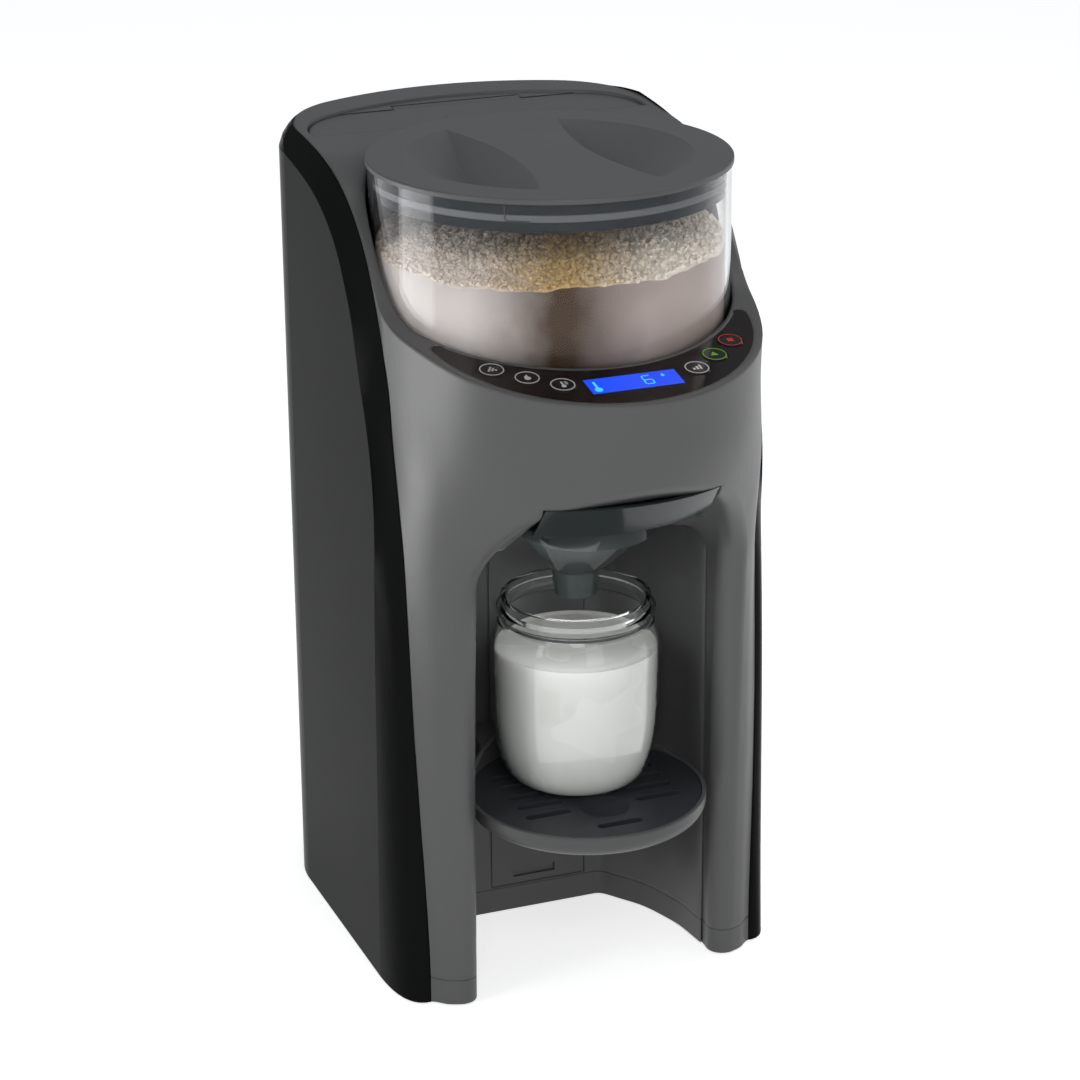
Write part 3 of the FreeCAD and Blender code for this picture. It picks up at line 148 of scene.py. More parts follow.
soft_box("key_left", (-1.55, -0.45, 0.95), (0, 0, 0.22), 0.45, 1.3, 5.5)
soft_box("front_fill", (-0.35, -1.85, 1.35), (0, 0, 0.2), 1.2, 0.9, 12)
soft_box("bay_fill", (0.15, -2.20, 0.55), (0, 0, 0.15), 0.9, 0.7, 2.5)
soft_box("rim_right", (1.20, 0.25, 0.80), (0, -0.05, 0.25), 0.3, 1.3, 3)
soft_box("overhead", (0.55, 0.2, 1.8), (0, 0, 0.3), 0.8, 0.8, 2.5)
soft_box("streak_card", (-0.50, 0.17, 0.15), (0, -0.03, 0.3), 0.28, 0.30, 1.3, gloss_only=True)
soft_box("bay_lamp", (-0.028, -0.086, 0.1985), (0.004, -0.055, 0.149), 0.052, 0.020, 0.019)


# ---- Front housing -------------------------------------------------------------------
# Two pillars, chin and top in one grey ABS shell, injection moulded against a
# finely etched tool, so that it is satin with a faint orange peel and soft edges.
HOUSING_COLOUR = (0.097, 0.097, 0.097)
RIM_SOFTNESS = 0.0024


def new_group(name, inputs, outputs):
    """An empty node group with float inputs and its named outputs."""
    group = bpy.data.node_groups.new(name, "ShaderNodeTree")
    for label, kind, value in inputs:
        socket = group.interface.new_socket(label, in_out="INPUT", socket_type=kind)
        if kind == "NodeSocketFloat":
            socket.default_value = value
    for label, kind in outputs:
        group.interface.new_socket(label, in_out="OUTPUT", socket_type=kind)
    return group, group.nodes.new("NodeGroupInput"), group.nodes.new("NodeGroupOutput")


def make_soft_edge():
    """Rounded shading normals along edges, and a mask of where those edges are."""
    group, ins, outs = new_group("soft_edge", [("Radius", "NodeSocketFloat", 0.001)],
                                 [("Normal", "NodeSocketVector"), ("Edge", "NodeSocketFloat")])
    bevel = group.nodes.new("ShaderNodeBevel")
    bevel.samples = 5
    geometry = group.nodes.new("ShaderNodeNewGeometry")
    alike = group.nodes.new("ShaderNodeVectorMath")
    alike.operation = "DOT_PRODUCT"
    spread = group.nodes.new("ShaderNodeMapRange")
    spread.inputs["From Min"].default_value = 0.995
    spread.inputs["From Max"].default_value = 0.80
    link = group.links.new
    link(ins.outputs["Radius"], bevel.inputs["Radius"])
    link(bevel.outputs["Normal"], alike.inputs[0])
    link(geometry.outputs["Normal"], alike.inputs[1])
    link(alike.outputs["Value"], spread.inputs["Value"])
    link(bevel.outputs["Normal"], outs.inputs["Normal"])
    link(spread.outputs["Result"], outs.inputs["Edge"])
    return group


def make_moulded_skin():
    """Etched grain over a slow orange peel, and clouds for colour and roughness."""
    group, ins, outs = new_group(
        "moulded_skin",
        [("Grain", "NodeSocketFloat", 1800.0), ("Depth", "NodeSocketFloat", 0.00001),
         ("Cloud Size", "NodeSocketFloat", 22.0), ("Normal", "NodeSocketVector", None)],
        [("Normal", "NodeSocketVector"), ("Cloud", "NodeSocketFloat"), ("Speck", "NodeSocketFloat")])
    place = group.nodes.new("ShaderNodeTexCoord")
    grain = group.nodes.new("ShaderNodeTexNoise")
    grain.inputs["Detail"].default_value = 3.0
    peel = group.nodes.new("ShaderNodeTexNoise")
    peel.inputs["Scale"].default_value = 160.0
    peel.inputs["Detail"].default_value = 1.0
    cloud = group.nodes.new("ShaderNodeTexNoise")
    cloud.inputs["Detail"].default_value = 4.0
    fine = group.nodes.new("ShaderNodeBump")
    slow = group.nodes.new("ShaderNodeBump")
    slow.inputs["Strength"].default_value = 0.35
    slow.inputs["Distance"].default_value = 0.00002
    link = group.links.new
    for texture in (grain, peel, cloud):
        link(place.outputs["Object"], texture.inputs["Vector"])
    link(ins.outputs["Grain"], grain.inputs["Scale"])
    link(ins.outputs["Cloud Size"], cloud.inputs["Scale"])
    link(ins.outputs["Depth"], fine.inputs["Distance"])
    link(ins.outputs["Normal"], slow.inputs["Normal"])
    link(peel.outputs["Fac"], slow.inputs["Height"])
    link(grain.outputs["Fac"], fine.inputs["Height"])
    link(slow.outputs["Normal"], fine.inputs["Normal"])
    link(fine.outputs["Normal"], outs.inputs["Normal"])
    link(cloud.outputs["Fac"], outs.inputs["Cloud"])
    link(grain.outputs["Fac"], outs.inputs["Speck"])
    return group


SOFT_EDGE = make_soft_edge()
MOULDED_SKIN = make_moulded_skin()


def blank(name):
    """A new material, its node tree and its Principled shader."""
    made = bpy.data.materials.new(name)
    made.use_nodes = True
    return made, made.node_tree, made.node_tree.nodes["Principled BSDF"]


def placed(tree, group, **values):
    """A node group placed in a material with its own values."""
    node = tree.nodes.new("ShaderNodeGroup")
    node.node_tree = group
    for label, value in values.items():
        node.inputs[label.replace("_", " ")].default_value = value
    return node


def ranged(tree, source, low, high, from_low=0.3, from_high=0.7):
    """A value that runs between two limits as its source does."""
    node = tree.nodes.new("ShaderNodeMapRange")
    for label, value in (("From Min", from_low), ("From Max", from_high), ("To Min", low), ("To Max", high)):
        node.inputs[label].default_value = value
    tree.links.new(source, node.inputs["Value"])
    return node.outputs["Result"]


def blended(tree, factor, first, second):
    """A colour between two colours or sockets, by a factor socket."""
    node = tree.nodes.new("ShaderNodeMix")
    node.data_type = "RGBA"
    tree.links.new(factor, node.inputs["Factor"])
    for end, colour in (("A", first), ("B", second)):
        socket = [each for each in node.inputs if each.name == end and each.type == "RGBA"][0]
        if hasattr(colour, "links"):
            tree.links.new(colour, socket)
        else:
            socket.default_value = (*colour, 1)
    return [each for each in node.outputs if each.type == "RGBA"][0]


def lighter(colour, share):
    """A colour times a share, with no part above one."""
    return tuple(min(1.0, part * share) for part in colour)


def moulded(name, colour, rough, grain=1800.0, depth=0.000012, softness=0.0006, specular=0.4, painted_edge_light=1.25):
    """Injection moulded plastic: etched grain, cloudy sheen, and edges painted a little paler as a painted
    highlight.
    """
    made, tree, shader = blank(name)
    edge = placed(tree, SOFT_EDGE, Radius=softness)
    skin = placed(tree, MOULDED_SKIN, Grain=grain, Depth=depth)
    link = tree.links.new
    link(edge.outputs["Normal"], skin.inputs["Normal"])
    clouded = blended(tree, ranged(tree, skin.outputs["Cloud"], 0, 1),
                      lighter(colour, 0.96), lighter(colour, 1.04))
    # Edges are painted paler by a share of the colour: a painted highlight along them.
    painted_edge_mask = ranged(tree, edge.outputs["Edge"], 0, 0.5, 0, 1)
    link(blended(tree, painted_edge_mask, clouded, lighter(colour, painted_edge_light)), shader.inputs["Base Color"])
    link(ranged(tree, skin.outputs["Cloud"], rough * 0.9, rough * 1.12), shader.inputs["Roughness"])
    link(skin.outputs["Normal"], shader.inputs["Normal"])
    shader.inputs["Specular IOR Level"].default_value = specular
    return made


def dress(material, *names):
    """Give a material to the CAD nodes of these names."""
    for name in names:
        slots = frame["nodes"][name].data.materials
        slots.clear()
        slots.append(material)


housing_finish = moulded("housing_grey", HOUSING_COLOUR, 0.40, softness=RIM_SOFTNESS)
dress(housing_finish, "front_housing")


# ---- Base ring, back panel and feet --------------------------------------------------
# A grey base ring screwed up into the pillars, the panel with the tray's hook
# slots that clips into the bay's back, four rubber feet and zinc screws.
base_finish = moulded("base_grey", lighter(HOUSING_COLOUR, 0.97), 0.42, softness=0.0005)
dress(base_finish, "base_shell", "bay_back_panel")
rubber = moulded("foot_rubber", (0.018, 0.018, 0.018), 0.82, grain=900.0, depth=0.00003,
                 specular=0.25, painted_edge_light=1.6)
dress(rubber, "rubber_feet")


def metal(name, colour, rough, stretch=(1, 1, 14)):
    """Bright metal drawn or turned one way, so that its sheen is drawn out in streaks."""
    made, tree, shader = blank(name)
    place = tree.nodes.new("ShaderNodeTexCoord")
    turn = tree.nodes.new("ShaderNodeMapping")
    turn.inputs["Scale"].default_value = stretch
    streak = tree.nodes.new("ShaderNodeTexNoise")
    streak.inputs["Scale"].default_value = 700.0
    streak.inputs["Detail"].default_value = 2.0
    bump = tree.nodes.new("ShaderNodeBump")
    bump.inputs["Distance"].default_value = 0.000008
    link = tree.links.new
    link(place.outputs["Object"], turn.inputs["Vector"])
    link(turn.outputs["Vector"], streak.inputs["Vector"])
    link(streak.outputs["Fac"], bump.inputs["Height"])
    link(bump.outputs["Normal"], shader.inputs["Normal"])
    link(ranged(tree, streak.outputs["Fac"], rough * 0.8, rough * 1.3), shader.inputs["Roughness"])
    link(blended(tree, streak.outputs["Fac"], lighter(colour, 0.92), lighter(colour, 1.05)),
         shader.inputs["Base Color"])
    shader.inputs["Metallic"].default_value = 1.0
    return made


bright_steel = metal("bright_steel", (0.60, 0.60, 0.58), 0.30)
dress(bright_steel, "base_screws")


# ---- Rear housing --------------------------------------------------------------------
# One U-shaped shell of gloss black ABS round the sides and back, snapped to the
# grey front along a bevelled seam. Polished tool, so only dust and swirls show.
WRAP_COLOUR = (0.0085, 0.0088, 0.0086)


def glossy(name, colour, rough, specular, softness=0.0008, dust=0.012):
    """Polished plastic with faint swirls in its gloss and a little dust."""
    made, tree, shader = blank(name)
    edge = placed(tree, SOFT_EDGE, Radius=softness)
    skin = placed(tree, MOULDED_SKIN, Grain=2200.0, Depth=0.000002, Cloud_Size=9.0)
    link = tree.links.new
    link(edge.outputs["Normal"], skin.inputs["Normal"])
    specks = ranged(tree, skin.outputs["Speck"], 0, dust, 0.62, 0.80)
    link(blended(tree, specks, colour, (0.30, 0.29, 0.27)), shader.inputs["Base Color"])
    link(ranged(tree, skin.outputs["Cloud"], rough * 0.92, rough * 1.12), shader.inputs["Roughness"])
    link(skin.outputs["Normal"], shader.inputs["Normal"])
    shader.inputs["Specular IOR Level"].default_value = specular
    return made


wrap_finish = glossy("wrap_black", WRAP_COLOUR, 0.24, 0.011)
dress(wrap_finish, "rear_housing")


# ---- Control fascia ------------------------------------------------------------------
# A crescent of piano black acrylic, 2 mm thick, glued into a recess of the deck.
# It is back-painted a warm black, so it mirrors its surroundings.
fascia_finish = glossy("fascia_black", (0.0085, 0.0048, 0.0040), 0.05, 0.17, softness=0.0003, dust=0.006)
dress(fascia_finish, "control_fascia")
inner_metal = metal("plated_can", (0.42, 0.42, 0.44), 0.34)
dress(inner_metal, "lcd_module", "gear_motor", "pump", "heater", "mains_transformer")
laminate = moulded("board_laminate", (0.02, 0.13, 0.05), 0.38, grain=2600.0, depth=0.00001)
dress(laminate, "control_board", "main_board", "button_switches")


# ---- Display -------------------------------------------------------------------------
# A backlit window in the fascia. Its lit segments are printed thin on the glass:
# a plain number, a thermometer and a drop.
press = [joint for joint in frame["joints"] if joint["name"] == "press_powder"][0]
DECK_NORMAL = -Vector(press["axis"]).normalized()
DECK_UP = DECK_NORMAL.cross(Vector((1, 0, 0)))
MARK_THICKNESS, MARK_GAP = 0.00010, 0.00003
DISPLAY_BLUE = (0.004, 0.058, 0.80)
DISPLAY_CYAN = (0.06, 0.55, 1.0)


def deck_frame(place):
    """A frame on the sloping deck: X to the right, Y up the slope, Z out of the deck."""
    turned = Matrix((Vector((1, 0, 0)), DECK_UP, DECK_NORMAL)).transposed().to_4x4()
    return Matrix.Translation(place) @ turned


def glowing(name, colour, strength, rough=0.15):
    """A lit print or window, a little uneven where its lamp sits."""
    made, tree, shader = blank(name)
    place = tree.nodes.new("ShaderNodeTexCoord")
    uneven = tree.nodes.new("ShaderNodeTexNoise")
    uneven.inputs["Scale"].default_value = 60.0
    uneven.inputs["Detail"].default_value = 1.0
    tree.links.new(place.outputs["Object"], uneven.inputs["Vector"])
    shade = blended(tree, ranged(tree, uneven.outputs["Fac"], 0, 1),
                    lighter(colour, 0.86), lighter(colour, 1.1))
    tree.links.new(shade, shader.inputs["Emission Color"])
    shader.inputs["Base Color"].default_value = (*lighter(colour, 0.4), 1)
    shader.inputs["Emission Strength"].default_value = strength
    shader.inputs["Roughness"].default_value = rough
    return made


def flat_plate(corners, radius, x, y, wide=1.0, tall=1.0, turn=0.0):
    """A thin closed plate with so many corners, drawn flat round a place in millimetres."""
    bpy.ops.object.select_all(action="DESELECT")
    bpy.ops.mesh.primitive_circle_add(vertices=corners, radius=radius / 1000, fill_type="NGON")
    plate = bpy.context.object
    plate.data.transform(Euler((0, 0, math.radians(turn))).to_matrix().to_4x4())
    plate.data.transform(Matrix.Diagonal((wide, tall, 1, 1)))
    plate.data.transform(Matrix.Translation((x / 1000, y / 1000, 0)))
    return thickened(plate)


def reworked(piece, kind, **settings):
    """Apply a modifier of a kind, with its settings, to the active piece."""
    change = piece.modifiers.new(kind.lower(), kind)
    for label, value in settings.items():
        setattr(change, label, value)
    bpy.ops.object.modifier_apply(modifier=change.name)
    return piece


def thickened(plate):
    """Give a flat print its thickness."""
    return reworked(plate, "SOLIDIFY", thickness=MARK_THICKNESS, offset=1.0)


def bar(x, y, wide, tall, turn=0.0):
    """A thin rectangle of a width and height in millimetres."""
    half = math.sqrt(0.5)
    plate = flat_plate(4, half, 0, 0, turn=45)
    plate.data.transform(Matrix.Diagonal((wide, tall, 1, 1)))
    plate.data.transform(Euler((0, 0, math.radians(turn))).to_matrix().to_4x4())
    plate.data.transform(Matrix.Translation((x / 1000, y / 1000, 0)))
    return plate


def outline_ring(radius, width, x=0.0, y=0.0, sides=56):
    """A thin flat ring, extruded inwards from a circle of edges."""
    bpy.ops.object.select_all(action="DESELECT")
    bpy.ops.mesh.primitive_circle_add(vertices=sides, radius=radius / 1000, fill_type="NOTHING")
    ring = bpy.context.object
    bpy.ops.object.mode_set(mode="EDIT")
    bpy.ops.mesh.select_all(action="SELECT")
    bpy.ops.mesh.extrude_edges_move()
    inner = (radius - width) / radius
    bpy.ops.transform.resize(value=(inner, inner, 1))
    bpy.ops.mesh.select_all(action="SELECT")
    bpy.ops.mesh.normals_make_consistent(inside=False)
    bpy.ops.object.mode_set(mode="OBJECT")
    ring.data.transform(Matrix.Translation((x / 1000, y / 1000, 0)))
    return thickened(ring)


def joined(name, parts):
    """Several plates as one piece."""
    bpy.ops.object.select_all(action="DESELECT")
    for part in parts:
        part.select_set(True)
    bpy.context.view_layer.objects.active = parts[0]
    if len(parts) > 1:
        bpy.ops.object.join()
    parts[0].name = name
    return parts[0]


dress(glowing("display_glass", DISPLAY_BLUE, 1.0), "lcd_window")
lcd_low, lcd_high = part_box("lcd_window")
WINDOW_THICKNESS = 0.001
lcd_top = (lcd_low + lcd_high) / 2 + DECK_NORMAL * (WINDOW_THICKNESS / 2 + MARK_GAP)
DIGIT_WIDE, DIGIT_TALL, STROKE, DIGIT_X = 3.6, 6.6, 0.55, 6.0
segments = [bar(DIGIT_X, row * DIGIT_TALL / 2, DIGIT_WIDE - STROKE, STROKE) for row in (-1, 0, 1)]
segments += [bar(DIGIT_X + side * DIGIT_WIDE / 2, row * DIGIT_TALL / 4, STROKE, DIGIT_TALL / 2 - STROKE)
             for side, row in ((-1, 1), (-1, -1), (1, -1))]
segments += [bar(-16.2, 0.4, 1.0, 6.0), flat_plate(28, 1.7, -16.2, -3.0)]
segments += [flat_plate(20, 0.75, 13.2, 2.1), flat_plate(3, 0.75, 13.2, 2.9, 0.85, 1.3, 90)]
numerals = joined("display_numerals", segments)
numerals.data.transform(deck_frame(lcd_top))
numerals.data.materials.append(glowing("display_print", DISPLAY_CYAN, 1.0))
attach(numerals, "housing")


# ---- Buttons -------------------------------------------------------------------------
# Six round caps of black acrylic in holes of the fascia, each with a printed ring
# and a pictogram. Start is green and stop is red.
RING_RADIUS, RING_WIDTH = 4.95, 0.42
CROWN_BAND = 0.00002
SCOOPS = ((-1.5, -0.9), (0, -0.9), (1.5, -0.9), (-0.75, 0.3), (0.75, 0.3), (0, 1.5))
cap_finish = glossy("button_black", (0.010, 0.008, 0.008), 0.12, 0.22, softness=0.0003, dust=0.006)


def print_finish(name, colour):
    """Screen print, a thin matt ink that stands a hair proud."""
    return moulded(name, colour, 0.5, grain=5200.0, depth=0.000004, softness=0.0001, painted_edge_light=1.0)


WHITE_PRINT = print_finish("print_white", (0.62, 0.62, 0.62))
GREEN_PRINT = print_finish("print_green", (0.16, 0.42, 0.03))
RED_PRINT = print_finish("print_red", (0.55, 0.03, 0.03))
MARKS = {
    "button_powder": (WHITE_PRINT, lambda: [flat_plate(12, 0.5, x, y) for x, y in SCOOPS]),
    "button_water": (WHITE_PRINT, lambda: [flat_plate(24, 1.3, 0, -0.6),
                                           flat_plate(3, 1.25, 0, 0.8, 0.86, 1.35, 90)]),
    "button_warmth": (WHITE_PRINT, lambda: [bar(0, 0.6, 0.8, 3.2), flat_plate(20, 1.0, 0, -1.4)]
                      + [bar(1.7, y, 1.2, 0.35) for y in (0.0, 0.9, 1.8)]),
    "button_volume": (WHITE_PRINT, lambda: [bar(x, -1.6 + tall / 2, 0.9, tall) for x, tall in
                                            ((-1.5, 1.4), (0, 2.4), (1.5, 3.4))]),
    "button_start": (GREEN_PRINT, lambda: [flat_plate(3, 1.9, -0.2, 0, turn=0)]),
    "button_stop": (RED_PRINT, lambda: [bar(0, 0, 2.6, 2.6)]),
}
for button, (ink, draw) in MARKS.items():
    dress(cap_finish, button)
    cap_points = [point.co for point in frame["nodes"][button].data.vertices]
    crown = max(point.dot(DECK_NORMAL) for point in cap_points)
    face = [point for point in cap_points if point.dot(DECK_NORMAL) > crown - CROWN_BAND]
    middle = [(min(point[side] for point in face) + max(point[side] for point in face)) / 2
              for side in (0, 1, 2)]
    cap_top = Vector(middle) + DECK_NORMAL * CROWN_BAND
    mark = joined(button + "_mark", draw() + [outline_ring(RING_RADIUS, RING_WIDTH)])
    mark.data.transform(deck_frame(cap_top))
    mark.data.materials.append(ink)
    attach(mark, button)


# ---- Hopper floor, seat and seals ----------------------------------------------------
# The hopper's floor is a grey moulding welded into the jar. Seat, chute and the
# dispensing wheel are acetal and ABS, and soft silicone rings keep the powder in.
dress(moulded("floor_grey", (0.10, 0.10, 0.10), 0.45), "hopper_floor")
inner_finish = moulded("inner_grey", (0.16, 0.16, 0.165), 0.5, grain=1400.0)
dress(inner_finish, "hopper_seat", "powder_chute", "funnel_guide", "tank_cradle", "chassis",
      "dispensing_wheel", "powder_scraper", "tank_valve", "power_inlet")
seal_finish = moulded("seal_grey", (0.10, 0.105, 0.11), 0.6, grain=1200.0, depth=0.000006, painted_edge_light=1.0)
dress(seal_finish, "hopper_seal", "lid_seal", "valve_seal", "suction_hose", "pump_hose", "nozzle_hose")


# ---- Drive train ---------------------------------------------------------------------
# A gear motor lies behind the chute and turns the hopper's wheel through an acetal
# pinion and gear on a ground steel shaft.
acetal = moulded("gear_acetal", (0.72, 0.71, 0.67), 0.4, grain=900.0, depth=0.000005, painted_edge_light=1.05)
dress(acetal, "drive_gear", "motor_pinion", "drive_bush")
dress(bright_steel, "drive_shaft", "motor_shaft", "motor_bracket", "heater_clamp", "water_nozzle",
      "tank_lid_pin")


# ---- Hopper jar ----------------------------------------------------------------------
# A clear jar of co-polyester with a 2 mm wall, polished inside and out. Handling
# leaves faint smudges, and the powder's fat dulls the inner wall here and there.
SMUDGE_SIZE = 26.0


def make_smudge():
    """Where fingers and wiping have left a film on clear plastic."""
    group, ins, outs = new_group("smudge", [("Size", "NodeSocketFloat", SMUDGE_SIZE)],
                                 [("Film", "NodeSocketFloat")])
    place = group.nodes.new("ShaderNodeTexCoord")
    film = group.nodes.new("ShaderNodeTexNoise")
    film.inputs["Detail"].default_value = 5.0
    film.inputs["Roughness"].default_value = 0.62
    film.inputs["Distortion"].default_value = 0.6
    cut = group.nodes.new("ShaderNodeMapRange")
    cut.inputs["From Min"].default_value = 0.48
    cut.inputs["From Max"].default_value = 0.78
    group.links.new(place.outputs["Object"], film.inputs["Vector"])
    group.links.new(ins.outputs["Size"], film.inputs["Scale"])
    group.links.new(film.outputs["Fac"], cut.inputs["Value"])
    group.links.new(cut.outputs["Result"], outs.inputs["Film"])
    return group


SMUDGE = make_smudge()


def clear(name, tint, shade, rough=0.012, film=0.10, index=1.49, transmission=1.0, painted_edge_shade=1.0):
    """Clear or smoked plastic with a wiped film, with painted shade in its tint where the eye looks along its
    wall.
    """
    made, tree, shader = blank(name)
    smudge = placed(tree, SMUDGE)
    link = tree.links.new
    link(ranged(tree, smudge.outputs["Film"], rough, rough + film, 0, 1), shader.inputs["Roughness"])
    slant = tree.nodes.new("ShaderNodeLayerWeight")
    slant.inputs["Blend"].default_value = 0.5
    painted_edge_shade_mask = ranged(tree, slant.outputs["Facing"], 0, 1, 0.60, 0.86)
    # Towards the silhouette the tint is painted darker: painted shade along the edges.
    link(blended(tree, painted_edge_shade_mask, tint, lighter(tint, painted_edge_shade)), shader.inputs["Base Color"])
    shader.inputs["Transmission Weight"].default_value = transmission
    shader.inputs["IOR"].default_value = index
    path = tree.nodes.new("ShaderNodeLightPath")
    through = tree.nodes.new("ShaderNodeBsdfTransparent")
    through.inputs["Color"].default_value = (*shade, 1)
    either = tree.nodes.new("ShaderNodeMixShader")
    end = tree.nodes["Material Output"]
    link(path.outputs["Is Shadow Ray"], either.inputs[0])
    link(shader.outputs[0], either.inputs[1])
    link(through.outputs[0], either.inputs[2])
    link(either.outputs[0], end.inputs["Surface"])
    return made


# The jar's edges take strong painted shade.
dress(clear("jar_clear", (0.97, 0.975, 0.98), (0.86, 0.87, 0.88), film=0.02, index=1.20,
            painted_edge_shade=0.42), "hopper_jar")


# ---- Powder in the hopper ------------------------------------------------------------
# A heap of milk powder: packed and smooth where it lies against the wall, loose on
# top in golden crumbs of one to two millimetres, higher at the back and the right.
HEAP_RADIUS, HEAP_FLOOR, HEAP_LEVEL = 0.0726, 0.2802, 0.3222
HOPPER_Y = -0.017
HEAP_RINGS = 30
CRUMB_COUNT, CRUMB_LOW, CRUMB_HIGH = 6400, 0.0006, 0.0013


def heap_height(x, y):
    """How high the powder lies at a place, from the hopper's axis."""
    reach = math.hypot(x, y) / HEAP_RADIUS
    slope = 0.045 * y + 0.028 * x
    mound = 0.004 * (1 - reach * reach)
    lumps = sum(rise * noise.noise(Vector((x, y, rise)) * turns)
                for rise, turns in ((0.0022, 34), (0.0014, 95), (0.0009, 260)))
    return HEAP_LEVEL + slope * (0.5 + 0.5 * reach) + mound + lumps


bpy.ops.object.select_all(action="DESELECT")
bpy.ops.mesh.primitive_cylinder_add(vertices=160, radius=HEAP_RADIUS, depth=HEAP_LEVEL - HEAP_FLOOR,
                                    location=(0, HOPPER_Y, (HEAP_LEVEL + HEAP_FLOOR) / 2))
heap = bpy.context.object
heap.name = "powder_heap"
bpy.ops.object.transform_apply(location=True, rotation=False, scale=False)
bpy.ops.object.mode_set(mode="EDIT")
bpy.ops.mesh.select_mode(type="FACE")
bpy.ops.mesh.select_all(action="DESELECT")
drawn = bmesh.from_edit_mesh(heap.data)
for face in drawn.faces:
    face.select = face.normal.z > 0.5
bmesh.update_edit_mesh(heap.data)
for _ in range(HEAP_RINGS):
    bpy.ops.mesh.inset(thickness=HEAP_RADIUS / (HEAP_RINGS + 1))
bpy.ops.object.mode_set(mode="OBJECT")
for point in heap.data.vertices:
    if point.co.z > HEAP_LEVEL - 0.0001:
        point.co.z = heap_height(point.co.x, point.co.y - HOPPER_Y)

bpy.ops.object.select_all(action="DESELECT")
bpy.ops.mesh.primitive_ico_sphere_add(subdivisions=1, radius=1.0)
crumb = bpy.context.object
crumb_points = [point.co.copy() for point in crumb.data.vertices]
crumb_faces = [tuple(face.vertices) for face in crumb.data.polygons]
bpy.data.objects.remove(crumb)
chance = random.Random(7)
loose_points, loose_faces = [], []
for _ in range(CRUMB_COUNT):
    reach = HEAP_RADIUS * math.sqrt(chance.uniform(0.06, 0.972))
    angle = chance.uniform(0, 2 * math.pi)
    x, y = reach * math.cos(angle), reach * math.sin(angle)
    size = chance.uniform(CRUMB_LOW, CRUMB_HIGH)
    stretch = Matrix.Diagonal((size * chance.uniform(0.7, 1.3), size * chance.uniform(0.7, 1.3), size, 1))
    turn = Euler([chance.uniform(0, 6.3) for _ in range(3)]).to_matrix().to_4x4()
    z = heap_height(x, y) + size * chance.uniform(-0.2, 0.9)
    set_down = Matrix.Translation((x, y + HOPPER_Y, z)) @ turn @ stretch
    first = len(loose_points)
    loose_points += [set_down @ (point * chance.uniform(0.8, 1.12)) for point in crumb_points]
    loose_faces += [tuple(first + corner for corner in face) for face in crumb_faces]
loose = bpy.data.meshes.new("powder_crumbs")
loose.from_pydata(loose_points, [], loose_faces)
crumbs = bpy.data.objects.new("powder_crumbs", loose)
bpy.context.scene.collection.objects.link(crumbs)


def powder_finish(name, crumbly):
    """Dry powder with painted light and shade: paler at both sides and darker down the middle, where the
    packed powder is dark brown and the loose crumbs golden, partly their own tone.
    """
    made, tree, shader = blank(name)
    place = tree.nodes.new("ShaderNodeTexCoord")
    facing = tree.nodes.new("ShaderNodeMapping")
    facing.vector_type = "POINT"
    facing.inputs["Rotation"].default_value = (0, 0, math.radians(24))
    facing.inputs["Location"].default_value = (0, 0.017, 0)
    split = tree.nodes.new("ShaderNodeSeparateXYZ")
    grain = tree.nodes.new("ShaderNodeTexNoise")
    grain.inputs["Scale"].default_value = 1500.0
    grain.inputs["Detail"].default_value = 3.0
    lumps = tree.nodes.new("ShaderNodeTexNoise")
    lumps.inputs["Scale"].default_value = 520.0 if crumbly else 110.0
    lumps.inputs["Detail"].default_value = 3.0
    tilt = tree.nodes.new("ShaderNodeMath")
    tilt.operation = "MULTIPLY_ADD"
    tilt.inputs[1].default_value = 0.045 if crumbly else 0.010
    bump = tree.nodes.new("ShaderNodeBump")
    bump.inputs["Distance"].default_value = 0.00012 if crumbly else 0.000002
    link = tree.links.new
    link(place.outputs["Object"], facing.inputs["Vector"])
    link(facing.outputs["Vector"], split.inputs["Vector"])
    for texture in (grain, lumps):
        link(place.outputs["Object"], texture.inputs["Vector"])
    link(lumps.outputs["Fac"], tilt.inputs[0])
    link(split.outputs["X"], tilt.inputs[2])
    painted_shade_shift = 0.0 if crumbly else -0.018
    into_painted_shade = ranged(tree, tilt.outputs[0], 0, 1, painted_shade_shift, painted_shade_shift + 0.034)
    into_painted_light = ranged(tree, tilt.outputs[0], 0, 1, painted_shade_shift + 0.042, painted_shade_shift + 0.072)
    # The middle colour is painted shade and the side colours are painted light; for the loose crumbs the
    # golden middle is partly their own tone.
    if crumbly:
        left, middle, far = (0.72, 0.63, 0.55), (0.50, 0.335, 0.135), (0.84, 0.76, 0.66)
    else:
        left, middle, far = (0.60, 0.54, 0.51), (0.064, 0.038, 0.022), (0.42, 0.345, 0.31)
    base = blended(tree, into_painted_light, blended(tree, into_painted_shade, left, middle), far)
    mottled = tree.nodes.new("ShaderNodeHueSaturation")
    link(base, mottled.inputs["Color"])
    link(ranged(tree, grain.outputs["Fac"], 0.90 if crumbly else 0.97, 1.10 if crumbly else 1.03),
         mottled.inputs["Value"])
    link(mottled.outputs["Color"], shader.inputs["Base Color"])
    link(grain.outputs["Fac"], bump.inputs["Height"])
    link(bump.outputs["Normal"], shader.inputs["Normal"])
    shader.inputs["Roughness"].default_value = 0.93
    shader.inputs["Specular IOR Level"].default_value = 0.15
    return made


heap.data.materials.append(powder_finish("powder_packed", False))
heap.data.materials.append(powder_finish("powder_loose_bed", True))
for face in heap.data.polygons:
    face.material_index = 1 if face.normal.z > 0.4 else 0
    face.use_smooth = True
crumbs.data.materials.append(powder_finish("powder_loose", True))
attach(heap, "hopper")
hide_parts("powder_fill")
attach(crumbs, "hopper")
